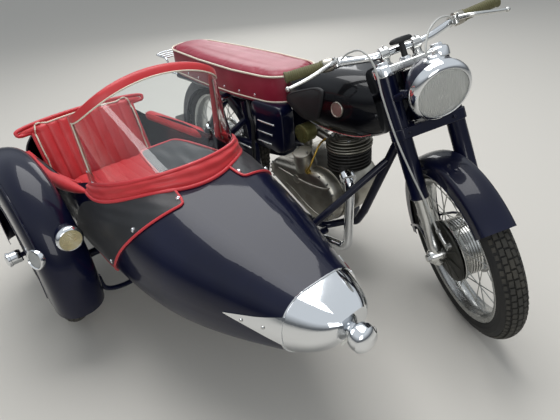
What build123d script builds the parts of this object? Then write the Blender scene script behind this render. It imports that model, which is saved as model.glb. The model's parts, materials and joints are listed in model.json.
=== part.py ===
from build123d import *
import math
import os

# Sidecar motorcycle, in millimetres. X points forward from the rear axle, Y to the rider's left,
# Z up from the ground. Everything is laid out from there, and the last lines move it all so that
# the origin is under the middle of the whole machine.

# Driving dimensions: motorcycle
wheelbase = 1400.0
wheel_radius = 324.0
tyre_width = 88.0
rim_radius = 254.0
rim_width = 70.0
hub_radius = 100.0
hub_width = 88.0
spoke_diameter = 3.6
spoke_pairs = 18
axle_diameter = 18.0

# Steering: the fork is parked turned towards the sidecar
rake = 23.0
fork_offset = 36.0
steer_angle = -31.0
leg_spacing = 180.0
leg_length = 662.0
slider_diameter = 42.0
shroud_diameter = 60.0
shroud_start = 215.0
head_start = 455.0
head_end = 614.0
head_diameter = 58.0

lamp_radius = 88.0
lamp_depth = 128.0
lamp_tilt = 11.5
bar_height = 684.0
bar_diameter = 24.0
bar_forward = -26.0
mirror_hole = 10.0
mirror_depth = 26.0
yoke_thickness = 34.0
clamp_spacing = 108.0
front_guard_radius = 336.0
front_guard_half = 54.0
guard_radius = 356.0

# Frame
frame_tube = 34.0
rail_height = 190.0
rail_half = 105.0
pivot_x = 400.0
pivot_z = 330.0
fork_arm_half = 138.0
shock_top_x = 255.0
shock_half = 150.0
seat_rail_height = 660.0

knee_pad_thickness = 7.0
seat_bottom = seat_rail_height + 12
seat_top = seat_rail_height + 138
box_bottom = 478.0
box_top = seat_rail_height + 24
rack_height = 726.0
rack_wire = 11.0
plate_bolts = 140.0
plate_hole = 7.0
cylinder_x = 872.0

# Sidecar
nose_cut = 1345.0
cockpit_back = -250.0
cockpit_half = 285.0
cockpit_corner = 110.0
cockpit_front = 560.0
cockpit_bow = 260.0
cockpit_bow_half = 243.0
cockpit_floor = 480.0
apron_front = 880.0
apron_back = 560.0
screen_foot = 600.0
screen_foot_bow = 330.0
screen_foot_half = 253.0
screen_top = 980.0
screen_top_bow = 78.0
screen_top_half = 262.0
screen_edge = 545.0
screen_shoulder = 834.0
screen_arch = 130.0
screen_thickness = 5.0
binding = 16.0
back_height = 332.0
back_half = 236.0
back_wing = 302.0
back_thickness = 60.0
armrest_diameter = 50.0
chassis_height = 200.0
chassis_rails = (-800.0, -430.0)
cross_front = 850.0
cross_rear = -60.0
axle_end = -1195.0
body_centre = -640.0
body_wall = 8.0
sidecar_wheel_x = 255.0
sidecar_wheel_y = -1070.0
sidecar_guard_radius = 392.0
sidecar_guard_half = 85.0
sidecar_guard_depth = 150.0
skin = 3.0
running_gap = 6.0


def point_on_fork(along, forward=0.0, side=0.0):
    """A point by its distance up the steering axis and ahead of it, fork pointing straight."""
    return Vector(*steering_base) + up_axis * along + forward_axis * forward + Vector(0, side, 0)


sides = (-1, 1)
rake_sin, rake_cos = math.sin(math.radians(rake)), math.cos(math.radians(rake))
up_axis = Vector(-rake_sin, 0, rake_cos)
forward_axis = Vector(rake_cos, 0, rake_sin)
front_axle = Vector(wheelbase, 0, wheel_radius)
steering_base = front_axle - forward_axis * fork_offset
steering_axis = Axis(steering_base, up_axis)


def rod(start, end, diameter):
    """A straight round bar between two points."""
    line = Vector(*end) - Vector(*start)
    with BuildSketch(Plane(origin=start, z_dir=line)) as section:
        Circle(diameter / 2)
    extrude(section.sketch, amount=line.length)


def tube(points, diameter, bend):
    """A round tube along a route, its corners bent to one radius."""
    with BuildLine() as route:
        FilletPolyline(*points, radius=bend)
    with BuildSketch(route.line ^ 0) as section:
        Circle(diameter / 2)
    sweep(section.sketch, path=route.line)


# Wheels: one design, used three times
with BuildPart() as wheel:
    with BuildSketch(Plane.XZ):
        with BuildLine():
            half = rim_width / 2
            Polyline(
                (rim_radius, -half), (rim_radius, -half + 4), (rim_radius - 7, -half + 6),
                (rim_radius - 7, half - 6), (rim_radius, half - 4), (rim_radius, half),
                (rim_radius - 12, half), (rim_radius - 22, half - 20), (rim_radius - 22, -half + 20),
                (rim_radius - 12, -half), (rim_radius, -half),
            )
        make_face()
    revolve(axis=Axis.Z)
    with BuildSketch(Plane.XY.offset(-hub_width / 2)):
        Circle(hub_radius)
    extrude(amount=hub_width)
    with BuildSketch(Plane.XY.offset(-hub_width / 2)):
        Circle(hub_radius + 8)
        Circle(hub_radius - 2, mode=Mode.SUBTRACT)
    extrude(amount=5)
    with BuildSketch(Plane.XY.offset(hub_width / 2 - 5)):
        Circle(hub_radius + 8)
        Circle(hub_radius - 2, mode=Mode.SUBTRACT)
    extrude(amount=5)
    with BuildSketch(Plane.XY.offset(-hub_width / 2)):
        Circle(axle_diameter / 2 + running_gap)
    extrude(amount=hub_width, mode=Mode.SUBTRACT)
    spoke_lead = 360.0 / spoke_pairs * 0.9
    for side in sides:
        for lean in sides:
            flange = Vector(hub_radius, 0, side * (hub_width / 2 - 3))
            turn = math.radians(lean * spoke_lead)
            reach = rim_radius - 16
            nipple = Vector(reach * math.cos(turn), reach * math.sin(turn), side * 8)
            first_spoke = (10 if lean > 0 else 0) + (5 if side > 0 else 0)
            with PolarLocations(0, spoke_pairs // 2, start_angle=first_spoke):
                with Locations(Plane(origin=flange, z_dir=nipple - flange)):
                    Cylinder(
                        spoke_diameter / 2, (nipple - flange).length,
                        align=(Align.CENTER, Align.CENTER, Align.MIN),
                    )

with BuildPart() as tyre:
    with BuildSketch(Plane.XZ):
        with BuildLine():
            half = tyre_width / 2
            bead = rim_radius - 7
            Line((bead, -rim_width / 2 + 6), (bead, rim_width / 2 - 6))
            Line((bead, rim_width / 2 - 6), (rim_radius + 3, rim_width / 2 - 4))
            ThreePointArc(
                (rim_radius + 3, rim_width / 2 - 4), (rim_radius + 30, half),
                (wheel_radius - 14, half - 12),
            )
            ThreePointArc(
                (wheel_radius - 14, half - 12), (wheel_radius, 0), (wheel_radius - 14, -half + 12)
            )
            ThreePointArc(
                (wheel_radius - 14, -half + 12), (rim_radius + 30, -half),
                (rim_radius + 3, -rim_width / 2 + 4),
            )
            Line((rim_radius + 3, -rim_width / 2 + 4), (bead, -rim_width / 2 + 6))
        make_face()
    revolve(axis=Axis.Z)

wheel_spots = {
    "front": (wheelbase, 0, wheel_radius),
    "rear": (0, 0, wheel_radius),
    "sidecar": (sidecar_wheel_x, sidecar_wheel_y, wheel_radius),
}


def round_block(points, start, end):
    """A plate whose outline wraps round circles given as x, z, radius, from one Y to another."""
    with BuildSketch(Plane(origin=(0, start, 0), x_dir=(1, 0, 0), z_dir=(0, 1, 0))) as outline:
        for x, z, radius in points:
            with Locations((x, -z)):
                Circle(radius)
        make_hull()
    extrude(outline.sketch, amount=end - start)


def guard(axle, first, last, radius, half_width, depth, wall):
    """A mudguard arched over a wheel from one angle above the front horizon to another."""
    angle = math.radians(first)
    outward = Vector(math.cos(angle), 0, math.sin(angle))
    plane = Plane(origin=axle, x_dir=outward, z_dir=(-outward.Z, 0, outward.X))
    with BuildSketch(plane) as section:
        with BuildLine():
            for inset in (0, wall):
                crown, half, foot = radius - inset, half_width - inset, radius - depth
                Line((foot, -half), (crown - 30, -half))
                ThreePointArc((crown - 30, -half), (crown, 0), (crown - 30, half))
                Line((crown - 30, half), (foot, half))
            for side in (-1, 1):
                Line((radius - depth, side * half_width), (radius - depth, side * (half_width - wall)))
        make_face()
    revolve(section.sketch, axis=Axis(axle, (0, -1, 0)), revolution_arc=last - first)


# Fork: two bright sliders in painted shrouds, with the axle through their lower ends
leg_sides = (-leg_spacing / 2, leg_spacing / 2)
with BuildPart() as fork_sliders:
    for side in leg_sides:
        rod(point_on_fork(-22, fork_offset, side),
            point_on_fork(shroud_start, fork_offset, side), slider_diameter)
        rod(front_axle + Vector(0, side - 26, 0), front_axle + Vector(0, side + 26, 0), 46)
    rod(front_axle - Vector(0, leg_spacing / 2, 0), front_axle + Vector(0, leg_spacing / 2, 0),
        axle_diameter)

# Headlamp: a bowl with a thick rim and a domed glass, tipped a little down from straight ahead
lamp_centre = point_on_fork(538, 191)
lamp_way = Vector(math.cos(math.radians(lamp_tilt)), 0, -math.sin(math.radians(lamp_tilt)))
lamp_axis = Axis(lamp_centre, lamp_way)
lamp_front_plane = Plane(origin=lamp_centre, x_dir=lamp_way, z_dir=(0, -1, 0))
glass_radius = lamp_radius - 12
with BuildPart() as headlamp_shell:
    with BuildSketch(Plane(origin=lamp_centre, x_dir=-lamp_way, z_dir=(0, 1, 0))):
        with BuildLine():
            Polyline((0, 0), (0, lamp_radius - 4), (14, lamp_radius - 4))
            Spline((14, lamp_radius - 4), (66, lamp_radius - 16), (106, lamp_radius - 42), (lamp_depth, 12),
                   tangents=((1, 0), (0.1, -1)))
            Polyline((lamp_depth, 12), (lamp_depth, 0), (0, 0))
        make_face()
    revolve(axis=lamp_axis)

with BuildPart() as headlamp_rim:
    with BuildSketch(lamp_front_plane):
        with BuildLine():
            Line((0, glass_radius), (0, lamp_radius + 4))
            ThreePointArc((0, lamp_radius + 4), (17, lamp_radius - 1), (22, glass_radius))
            Line((22, glass_radius), (0, glass_radius))
        make_face()
    revolve(axis=lamp_axis)

with BuildPart() as headlamp_lens:
    with BuildSketch(lamp_front_plane):
        with BuildLine():
            Line((0, 0), (0, glass_radius))
            Line((0, glass_radius), (12, glass_radius))
            ThreePointArc((12, glass_radius), (23, lamp_radius / 2), (28, 8))
            Polyline((28, 8), (28, 0), (0, 0))
        make_face()
    revolve(axis=lamp_axis)

lower_yoke_start = head_start - running_gap - yoke_thickness
top_yoke_start = head_end + running_gap
with BuildPart() as fork_shrouds:
    for side in leg_sides:
        rod(point_on_fork(shroud_start, fork_offset, side),
            point_on_fork(top_yoke_start, fork_offset, side), shroud_diameter)
        rod(point_on_fork(545, fork_offset, side), point_on_fork(560, 168, side * 0.92), 20)
    with BuildSketch(Plane(origin=point_on_fork(lower_yoke_start), x_dir=forward_axis, z_dir=up_axis)):
        with Locations((fork_offset, leg_sides[0]), (fork_offset, leg_sides[1]), (0, 0)):
            Circle(34)
        make_hull()
    extrude(amount=yoke_thickness)
    add(headlamp_shell.part, mode=Mode.SUBTRACT)

with BuildPart() as top_yoke:
    with BuildSketch(Plane(origin=point_on_fork(top_yoke_start), x_dir=forward_axis, z_dir=up_axis)):
        with Locations((fork_offset, leg_sides[0]), (fork_offset, leg_sides[1]), (0, 0)):
            Circle(33)
        with Locations((bar_forward, -clamp_spacing / 2), (bar_forward, clamp_spacing / 2)):
            Circle(18)
        make_hull()
    extrude(amount=yoke_thickness - 8)
    for side in leg_sides:
        rod(point_on_fork(top_yoke_start, fork_offset, side),
            point_on_fork(leg_length, fork_offset, side), 52)
    for side in sides:
        rod(point_on_fork(top_yoke_start, bar_forward, side * clamp_spacing / 2),
            point_on_fork(bar_height, bar_forward, side * clamp_spacing / 2), 34)

with BuildPart() as damper_knob:
    rod(point_on_fork(top_yoke_start + yoke_thickness - 8, 8), point_on_fork(bar_height + 20, 8), 20)
    with BuildSketch(Plane(origin=point_on_fork(bar_height + 14), x_dir=forward_axis, z_dir=up_axis)):
        with Locations((2, -24), (2, 24)):
            Circle(15)
        make_hull()
    extrude(amount=16)

# Handlebar: one bent tube in two clamps, with the lever perches on it
bar_rise, bar_sweep = 28.0, -66.0
bar_half = ((0.0, bar_forward, 96), (bar_rise, bar_sweep, 230), (bar_rise + 8, bar_sweep - 4, 366))
bar_points = [point_on_fork(bar_height + rise, ahead, -out) for rise, ahead, out in reversed(bar_half)]
bar_points += [point_on_fork(bar_height + rise, ahead, out) for rise, ahead, out in bar_half]
grip_start, grip_end = 236.0, 372.0
perch_rise = bar_rise - 2.5
mirror_bosses = [point_on_fork(bar_height + perch_rise, -38.4, side * 206) for side in sides]
with BuildPart() as handlebar:
    tube(bar_points, bar_diameter, 50)
    for side in sides:
        perch = point_on_fork(bar_height + perch_rise, -62.4, side * 218)
        rod(perch - Vector(0, 14, 0), perch + Vector(0, 14, 0), 32)
        rod(perch, perch + forward_axis * 34, 22)
    for boss in mirror_bosses:
        rod(boss - up_axis * mirror_depth / 2, boss + up_axis * mirror_depth / 2, 20)
    add(top_yoke.part, mode=Mode.SUBTRACT)
    for boss in mirror_bosses:
        with BuildSketch(Plane(origin=boss - up_axis * 30, z_dir=up_axis)) as thread:
            Circle(mirror_hole / 2)
        extrude(thread.sketch, amount=60, mode=Mode.SUBTRACT)

with BuildPart() as grips:
    for side in sides:
        inner = point_on_fork(bar_height + bar_rise + 0.4, bar_sweep - 0.2, side * grip_start)
        outer = point_on_fork(bar_height + bar_rise + 8.4, bar_sweep - 4.2, side * grip_end)
        rod(inner, outer, 34)
    add(handlebar.part, mode=Mode.SUBTRACT)

with BuildPart() as control_levers:
    for side, reach in ((-1, 384), (1, 362)):
        pivot = point_on_fork(bar_height + perch_rise, -32, side * 222)
        knee = point_on_fork(bar_height + perch_rise - 8, 2, side * 262)
        tip = point_on_fork(bar_height + perch_rise - 26, -6, side * reach)
        rod(pivot, knee, 11)
        rod(knee, tip, 11)
        with Locations(knee):
            Sphere(5.5)
        with Locations(tip):
            Sphere(8)
    add(handlebar.part, mode=Mode.SUBTRACT)

# Front mudguard and the brake plate that the axle carries beside the hub
with BuildPart() as front_mudguard:
    guard(front_axle, 47, 205, front_guard_radius, front_guard_half, 56, 3)
    for side in sides:
        stay = point_on_fork(300, fork_offset, side * (front_guard_half - 2))
        rod(stay, stay + Vector(0, side * 20, 0), 14)
    add(fork_shrouds.part, mode=Mode.SUBTRACT)

plate_start = hub_width / 2 + running_gap
with BuildPart() as front_brake_plate:
    with BuildSketch(Plane(origin=front_axle - Vector(0, plate_start, 0), z_dir=(0, -1, 0))):
        Circle(hub_radius + 8)
    extrude(amount=9)
    fillet(front_brake_plate.faces().sort_by(Axis.Y)[0].edges(), 5)
    with BuildSketch(Plane(origin=front_axle - Vector(0, plate_start + 9, 0), z_dir=(0, -1, 0))):
        Circle(34)
    extrude(amount=leg_spacing / 2 - slider_diameter / 2 - plate_start - 9 + 4)
    add(fork_sliders.part, mode=Mode.SUBTRACT)

# Motorcycle frame: a single cradle of round tube under the engine
head_low, head_top = point_on_fork(head_start), point_on_fork(head_end)
with BuildPart() as main_frame:
    rod(head_low, head_top, head_diameter)
    rod(point_on_fork(head_end - 84), (560, 0, seat_rail_height + 10), frame_tube)
    tube([point_on_fork(head_start + 50, -8), point_on_fork(head_start - 25, -80), (950, 0, 270),
          (905, 0, rail_height + 5), (850, 0, rail_height)], frame_tube, 36)
    for side in sides:
        tube([(880, 0, rail_height), (820, side * rail_half, rail_height),
              (pivot_x + 20, side * rail_half, rail_height), (pivot_x, side * rail_half, pivot_z),
              (pivot_x - 60, side * rail_half, seat_rail_height - 20)], frame_tube - 4, 38)
        tube([(560, side * 8, seat_rail_height + 8), (pivot_x - 40, side * rail_half, seat_rail_height),
              (-210, side * rail_half, seat_rail_height + 4)], frame_tube - 8, 60)
        rod((shock_top_x, side * (rail_half - 4), seat_rail_height - 4),
            (shock_top_x, side * (shock_half + 14), seat_rail_height - 4), 22)
    rod((-196, -rail_half, seat_rail_height + 4), (-196, rail_half, seat_rail_height + 4), 22)

with BuildPart() as rear_fork:
    for side in sides:
        rod((pivot_x, side * fork_arm_half, pivot_z), (0, side * fork_arm_half, wheel_radius), 30)
        rod((0, side * (fork_arm_half - 18), wheel_radius),
            (0, side * (fork_arm_half + 18), wheel_radius), 46)
        rod((pivot_x, side * (fork_arm_half - 15), pivot_z),
            (pivot_x, side * (fork_arm_half + 15), pivot_z), 42)
    rod((0, -fork_arm_half, wheel_radius), (0, fork_arm_half, wheel_radius), axle_diameter)
    add(main_frame.part, mode=Mode.SUBTRACT)

with BuildPart() as rear_shocks:
    for side in sides:
        low = Vector(0, side * shock_half, wheel_radius + 22)
        top = Vector(shock_top_x, side * shock_half, seat_rail_height - 16)
        line = top - low
        rod(low, low + line * 0.46, 50)
        rod(low + line * 0.46, top, 38)
    add(main_frame.part, mode=Mode.SUBTRACT)
    add(rear_fork.part, mode=Mode.SUBTRACT)

# The space that the fork legs and yokes sweep as they turn, kept free by the tank
with BuildPart() as fork_sweep:
    rod(head_low - up_axis * 200, head_top + up_axis * 200, leg_spacing + 2 * 45)

# Tank: a teardrop from rounded sections, hollowed underneath for the backbone
tank_sections = (
    # x, half width, top, bottom
    (600, 70, 770, 690),
    (650, 108, 806, 662),
    (760, 142, 842, 632),
    (900, 152, 860, 622),
    (1030, 140, 858, 636),
    (1110, 96, 840, 676),
    (1140, 52, 818, 716),
)


def tank_form(grow):
    """The tank's outside, grown all round."""
    rings = []
    for x, half, top, bottom in tank_sections:
        width, height = 2 * (half + grow), top - bottom + 2 * grow
        with BuildSketch(Plane(origin=(x, 0, (top + bottom) / 2), x_dir=(0, 1, 0),
                               z_dir=(1, 0, 0))) as ring:
            RectangleRounded(width, height, 0.44 * min(width, height))
        rings.append(ring.sketch.face())
    loft(rings)


with BuildPart() as fuel_tank:
    tank_form(0)
    with Locations((900, 0, 690)):
        Box(800, 46, 160, mode=Mode.SUBTRACT)
    add(fork_sweep.part, mode=Mode.SUBTRACT)
    add(main_frame.part, mode=Mode.SUBTRACT)

# Rubber knee pads lie on the tank's sides
knee_outline = ((644, 701), (655, 729), (720, 760), (830, 799), (885, 790), (879, 728), (844, 680), (757, 662),
                (666, 673))
with BuildPart() as knee_pads:
    tank_form(knee_pad_thickness)
    with BuildSketch(Plane.XZ.offset(-200)):
        with BuildLine():
            Polyline(*knee_outline, knee_outline[0])
        make_face()
    extrude(amount=400, mode=Mode.INTERSECT)
    add(fuel_tank.part, mode=Mode.SUBTRACT)
    with Locations((760, 0, 740)):
        Box(400, 90, 400, mode=Mode.SUBTRACT)

with BuildPart() as filler_cap:
    rod((860, 0, 852), (860, 0, 876), 62)
    add(fuel_tank.part, mode=Mode.SUBTRACT)

# Dual seat: a long pad, its blunt front pressed against the tank
seat_plan = ((-185, 112), (60, 134), (330, 142), (505, 131))
with BuildPart() as dual_seat:
    with BuildSketch(Plane.XY.offset(seat_bottom)):
        for x, radius in seat_plan:
            with Locations((x, 0)):
                Circle(radius)
        make_hull()
    extrude(amount=seat_top - seat_bottom)
    fillet(dual_seat.faces().sort_by(Axis.Z)[-1].edges(), 18)
    with BuildSketch(Plane(origin=(0, -72, wheel_radius), z_dir=(0, 1, 0))) as guard_room:
        Circle(guard_radius + 3)
    extrude(guard_room.sketch, amount=144, mode=Mode.SUBTRACT)
    add(main_frame.part, mode=Mode.SUBTRACT)
    add(fuel_tank.part, mode=Mode.SUBTRACT)
    add(knee_pads.part, mode=Mode.SUBTRACT)
    add(rear_shocks.part, mode=Mode.SUBTRACT)

# Rear mudguard, rack, lamp and plate
rear_axle = Vector(0, 0, wheel_radius)
with BuildPart() as rear_mudguard:
    guard(rear_axle, 18, 200, guard_radius - 4, 66, 56, 4)
    add(main_frame.part, mode=Mode.SUBTRACT)
    add(rear_fork.part, mode=Mode.SUBTRACT)
    add(rear_shocks.part, mode=Mode.SUBTRACT)

with BuildPart() as luggage_rack:
    for side in sides:
        tube([(-196, side * 84, seat_rail_height - 5), (-318, side * 86, seat_rail_height - 5),
              (-350, side * 88, rack_height), (-470, side * 80, rack_height), (-500, side * 30, rack_height)],
             rack_wire, 20)
    rod((-500, -34, rack_height), (-500, 34, rack_height), rack_wire)
    for row in range(3):
        rod((-368 - row * 42, -86, rack_height), (-368 - row * 42, 86, rack_height), rack_wire - 2)
    add(main_frame.part, mode=Mode.SUBTRACT)
    add(dual_seat.part, mode=Mode.SUBTRACT)

with BuildPart() as rear_lamp:
    tail = rear_axle + Vector(-math.cos(math.radians(18)), 0, math.sin(math.radians(18))) * guard_radius
    rod(tail + Vector(14, 0, 6), tail + Vector(-34, 0, 10), 56)
    add(rear_mudguard.part, mode=Mode.SUBTRACT)
with BuildPart() as number_plate:
    with Locations(tail + Vector(-22, 0, -96)):
        Box(3, 200, 130)
    with Locations(*[tail + Vector(-22, side * plate_bolts / 2, -96) for side in sides]):
        Cylinder(plate_hole / 2, 20, rotation=(0, 90, 0), mode=Mode.SUBTRACT)
    with Locations(tail + Vector(-8, 0, -60)):
        Box(28, 30, 40)
    add(rear_mudguard.part, mode=Mode.SUBTRACT)
    add(rear_lamp.part, mode=Mode.SUBTRACT)

# Pressed boxes: an upper pair beside the frame and a lower pair that hides the chain and battery
with BuildPart() as tool_boxes:
    for side in sides:
        with BuildSketch(Plane(origin=(0, side * 84, 0), x_dir=(1, 0, 0), z_dir=(0, side, 0))):
            with Locations((547, -side * (box_top + box_bottom) / 2)):
                RectangleRounded(206, box_top - box_bottom, 40)
        extrude(amount=64)
    fillet(tool_boxes.faces().filter_by(Plane.XZ).sort_by(Axis.Y)[0].edges(), 16)
    fillet(tool_boxes.faces().filter_by(Plane.XZ).sort_by(Axis.Y)[-1].edges(), 16)
    for done in (main_frame, fuel_tank, knee_pads, dual_seat, rear_shocks):
        add(done.part, mode=Mode.SUBTRACT)

with BuildPart() as rear_covers:
    for side in sides:
        with BuildSketch(Plane(origin=(0, side * 124, 0), x_dir=(1, 0, 0), z_dir=(0, side, 0))):
            with BuildLine():
                outline = [(170, 470), (186, 372), (352, 354), (446, 354), (446, 478), (170, 470)]
                Polyline(*[(x, -side * z) for x, z in outline])
            make_face()
        extrude(amount=22)
    for done in (main_frame, rear_fork, rear_shocks, tool_boxes):
        add(done.part, mode=Mode.SUBTRACT)

# Engine: cases with domed covers, a finned barrel and head, and a drum carburettor
crank = (820, 345)
with BuildPart() as crankcase:
    round_block(((crank[0], crank[1], 112), (585, 392, 48), (745, 470, 52)), -152, -96)
    fillet(crankcase.faces().sort_by(Axis.Y)[0].edges(), 24)
    round_block(((crank[0], crank[1], 118), (600, 380, 62)), -96, 96)
    round_block(((crank[0], crank[1], 100), (600, 380, 60)), 96, 142)
    fillet(crankcase.faces().sort_by(Axis.Y)[-1].edges(), 18)
    with Locations((720, -104, 508)):
        Cylinder(44, 60)
    add(main_frame.part, mode=Mode.SUBTRACT)
    add(rear_fork.part, mode=Mode.SUBTRACT)

barrel_foot = 448.0
barrel_top = 540.0
port_end = Vector(cylinder_x + 58, -80, 460)
port_way = Vector(0.80, -0.45, -0.40).normalized()
with BuildPart() as cylinder_barrel:
    with Locations((cylinder_x, 0, barrel_foot)):
        Cylinder(58, barrel_top - barrel_foot, align=(Align.CENTER, Align.CENTER, Align.MIN))
    fins = 6
    for fin in range(fins):
        with BuildSketch(Plane.XY.offset(barrel_foot + 14 + fin * 13.5)):
            with Locations((cylinder_x, 0)):
                Ellipse(82, 94)
        extrude(amount=5)
    rod(port_end - port_way * 60, port_end, 46)
    add(crankcase.part, mode=Mode.SUBTRACT)
    add(main_frame.part, mode=Mode.SUBTRACT)

with BuildPart() as cylinder_head:
    for low, high, across, along in ((0, 8, 96, 86), (8, 40, 62, 54), (14, 19, 96, 86),
                                     (25, 30, 90, 80), (36, 41, 80, 70)):
        with BuildSketch(Plane.XY.offset(barrel_top + low)):
            with Locations((cylinder_x, 0)):
                Ellipse(along, across)
        extrude(amount=high - low)
    rod((cylinder_x, 0, barrel_top + 40), (cylinder_x, 0, barrel_top + 66), 22)
    add(main_frame.part, mode=Mode.SUBTRACT)
    add(fuel_tank.part, mode=Mode.SUBTRACT)

with BuildPart() as carburettor:
    rod((700, -96, 572), (700, -40, 572), 76)
    rod((700, -60, 572), (700, 40, 572), 50)
    rod((725, -20, 560), (790, 0, 520), 36)
    for done in (main_frame, fuel_tank, knee_pads, crankcase, cylinder_barrel, cylinder_head, tool_boxes):
        add(done.part, mode=Mode.SUBTRACT)

with BuildPart() as exhaust_pipe:
    rod(port_end, port_end + port_way * 28, 60)
    tube([port_end, port_end + port_way * 44, (960, -112, 142), (640, -150, 136), (500, -152, 140)], 38, 44)
    for done in (main_frame, crankcase, cylinder_barrel, cylinder_head):
        add(done.part, mode=Mode.SUBTRACT)

with BuildPart() as silencer:
    with BuildSketch(Plane(origin=(500, -152, 140), z_dir=(-1, 0, 0.06))):
        Circle(22)
    with BuildSketch(Plane(origin=(390, -152, 147), z_dir=(-1, 0, 0.06))):
        Circle(43)
    with BuildSketch(Plane(origin=(-60, -152, 174), z_dir=(-1, 0, 0.06))):
        Circle(40)
    with BuildSketch(Plane(origin=(-230, -152, 184), z_dir=(-1, 0, 0.06))):
        Circle(18)
    loft(ruled=True)
    for done in (exhaust_pipe, main_frame, rear_fork):
        add(done.part, mode=Mode.SUBTRACT)

with BuildPart() as chain_case:
    round_block(((0, wheel_radius, 62), (560, 385, 40)), 58, 80)
    for done in (main_frame, rear_fork, crankcase, rear_mudguard):
        add(done.part, mode=Mode.SUBTRACT)

with BuildPart() as foot_controls:
    rod((470, -rail_half, 206), (470, -255, 206), 22)
    rod((470, rail_half, 206), (470, 255, 206), 22)
    rod((470, -200, 206), (470, -262, 206), 34)
    rod((470, 200, 206), (470, 262, 206), 34)
    rod((600, 142, 380), (600, 168, 380), 22)
    tube([(600, 168, 380), (560, 172, 420), (500, 180, 560)], 16, 20)
    rod((500, 176, 560), (500, 250, 560), 20)
    for done in (main_frame, crankcase, exhaust_pipe, silencer, rear_covers, tool_boxes):
        add(done.part, mode=Mode.SUBTRACT)

# Sidecar body: one rounded hull, its length given by sections from the tail to the nose
body_sections = (
    # x, half width, top, bottom
    (-430, 150, 480, 380),
    (-370, 225, 540, 320),
    (-270, 278, 600, 285),
    (-60, 304, 670, 250),
    (260, 310, 700, 238),
    (510, 308, 696, 230),
    (760, 300, 660, 226),
    (960, 270, 612, 234),
    (1140, 216, 568, 264),
    (1290, 160, 532, 306),
    (1400, 112, 508, 352),
    (1462, 56, 486, 420),
)


def body_form(grow):
    """The hull's solid, grown or shrunk all round."""
    last = len(body_sections) - 1
    rings = []
    for number, (x, half, top, bottom) in enumerate(body_sections):
        shift = -grow if number == 0 else grow if number == last else 0
        width, height = 2 * (half + grow), top - bottom + 2 * grow
        with BuildSketch(Plane(origin=(x + shift, body_centre, (top + bottom) / 2),
                               x_dir=(0, 1, 0), z_dir=(1, 0, 0))) as ring:
            RectangleRounded(width, height, 0.46 * min(width, height))
        rings.append(ring.sketch.face())
    loft(rings)


with BuildPart() as hull:
    body_form(0)
with BuildPart() as hull_inside:
    body_form(-body_wall)
with BuildPart() as hull_skin:
    body_form(skin)
    add(hull.part, mode=Mode.SUBTRACT)

# The cockpit's plan: rounded behind, straight at the sides and bowed in front
with BuildSketch(Plane.XY.offset(cockpit_floor)) as cockpit_plan:
    for side in sides:
        with Locations((cockpit_back + cockpit_corner, body_centre + side * (cockpit_half - cockpit_corner))):
            Circle(cockpit_corner)
        with Locations((400, body_centre + side * (cockpit_half - 40))):
            Circle(40)
        with Locations((cockpit_front, body_centre + side * (cockpit_bow_half - 10))):
            Circle(10)
    make_hull()
    with Locations((cockpit_front, body_centre)):
        Ellipse(cockpit_bow, cockpit_bow_half)

# The backrest tips about a pin between two lugs low on the body's walls
back_hinge = Vector(-85, body_centre, 340)
back_lean = 23.0
lug_face, lug_depth, pin_end, pin_diameter, lug_diameter = 244.0, 12.0, 250.0, 16.0, 44.0
with BuildPart() as hinge_lugs:
    for side in sides:
        face = back_hinge + Vector(0, side * lug_face, 0)
        rod(face, face + Vector(0, side * 60, 0), lug_diameter)
    add(hull.part, mode=Mode.INTERSECT)

with BuildPart() as sidecar_body:
    add(hull.part)
    add(hull_inside.part, mode=Mode.SUBTRACT)
    split(bisect_by=Plane(origin=(nose_cut, 0, 0), z_dir=(-1, 0, 0)))
    extrude(cockpit_plan.sketch, amount=300, mode=Mode.SUBTRACT)
    add(hinge_lugs.part)
    for side in sides:
        face = back_hinge + Vector(0, side * lug_face, 0)
        hole_end = face + Vector(0, side * lug_depth, 0)
        with BuildSketch(Plane(origin=face, z_dir=hole_end - face)) as bore:
            Circle(pin_diameter / 2 + running_gap)
        extrude(bore.sketch, amount=lug_depth, mode=Mode.SUBTRACT)

with BuildPart() as nose_cap:
    add(hull.part)
    add(hull_inside.part, mode=Mode.SUBTRACT)
    split(bisect_by=Plane(origin=(nose_cut, 0, 0), z_dir=(1, 0, 0)))

with BuildPart() as bullet_lamp:
    rod((1420, body_centre, 436), (1486, body_centre, 430), 30)
    with Locations((1486, body_centre, 430)):
        Sphere(40)
    add(nose_cap.part, mode=Mode.SUBTRACT)

# Vinyl apron: a skin over the deck ahead of the cockpit, its front edge on a leaning plane
with BuildPart() as apron:
    add(hull_skin.part)
    split(bisect_by=Plane(origin=(apron_front, 0, 600), z_dir=(-1, 0, 0.9)))
    split(bisect_by=Plane(origin=(apron_back, 0, 600), z_dir=(1, 0, -0.9)))
    split(bisect_by=Plane(origin=(0, 0, 380), z_dir=(0, 0, 1)))
    extrude(cockpit_plan.sketch, amount=300, mode=Mode.SUBTRACT)


def bowed_cone(low, low_bow, low_half, high, high_bow, high_half):
    """A solid whose level sections are ellipses about the front of the cockpit."""
    rings = []
    for height, bow, half in ((low, low_bow, low_half), (high, high_bow, high_half)):
        with BuildSketch(Plane.XY.offset(height)) as ring:
            with Locations((cockpit_front, body_centre)):
                Ellipse(bow, half)
        rings.append(ring.sketch.face())
    loft(rings, ruled=True)


def screen_cone(grow):
    """The screen's cone, grown or shrunk all round."""
    bowed_cone(screen_foot, screen_foot_bow + grow, screen_foot_half + grow,
               screen_top, screen_top_bow + grow, screen_top_half + grow)


def arch_outline(inset):
    """The screen's outline from in front: upright sides under a flat arch."""
    with BuildSketch(Plane.YZ.offset(screen_edge - 100)) as outline:
        half, arch = screen_top_half + 6 - inset, screen_arch - inset
        with Locations((body_centre, screen_shoulder)):
            Rectangle(2 * half, 400, align=(Align.CENTER, Align.MAX))
            Ellipse(half, arch)
    return outline.sketch


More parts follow.
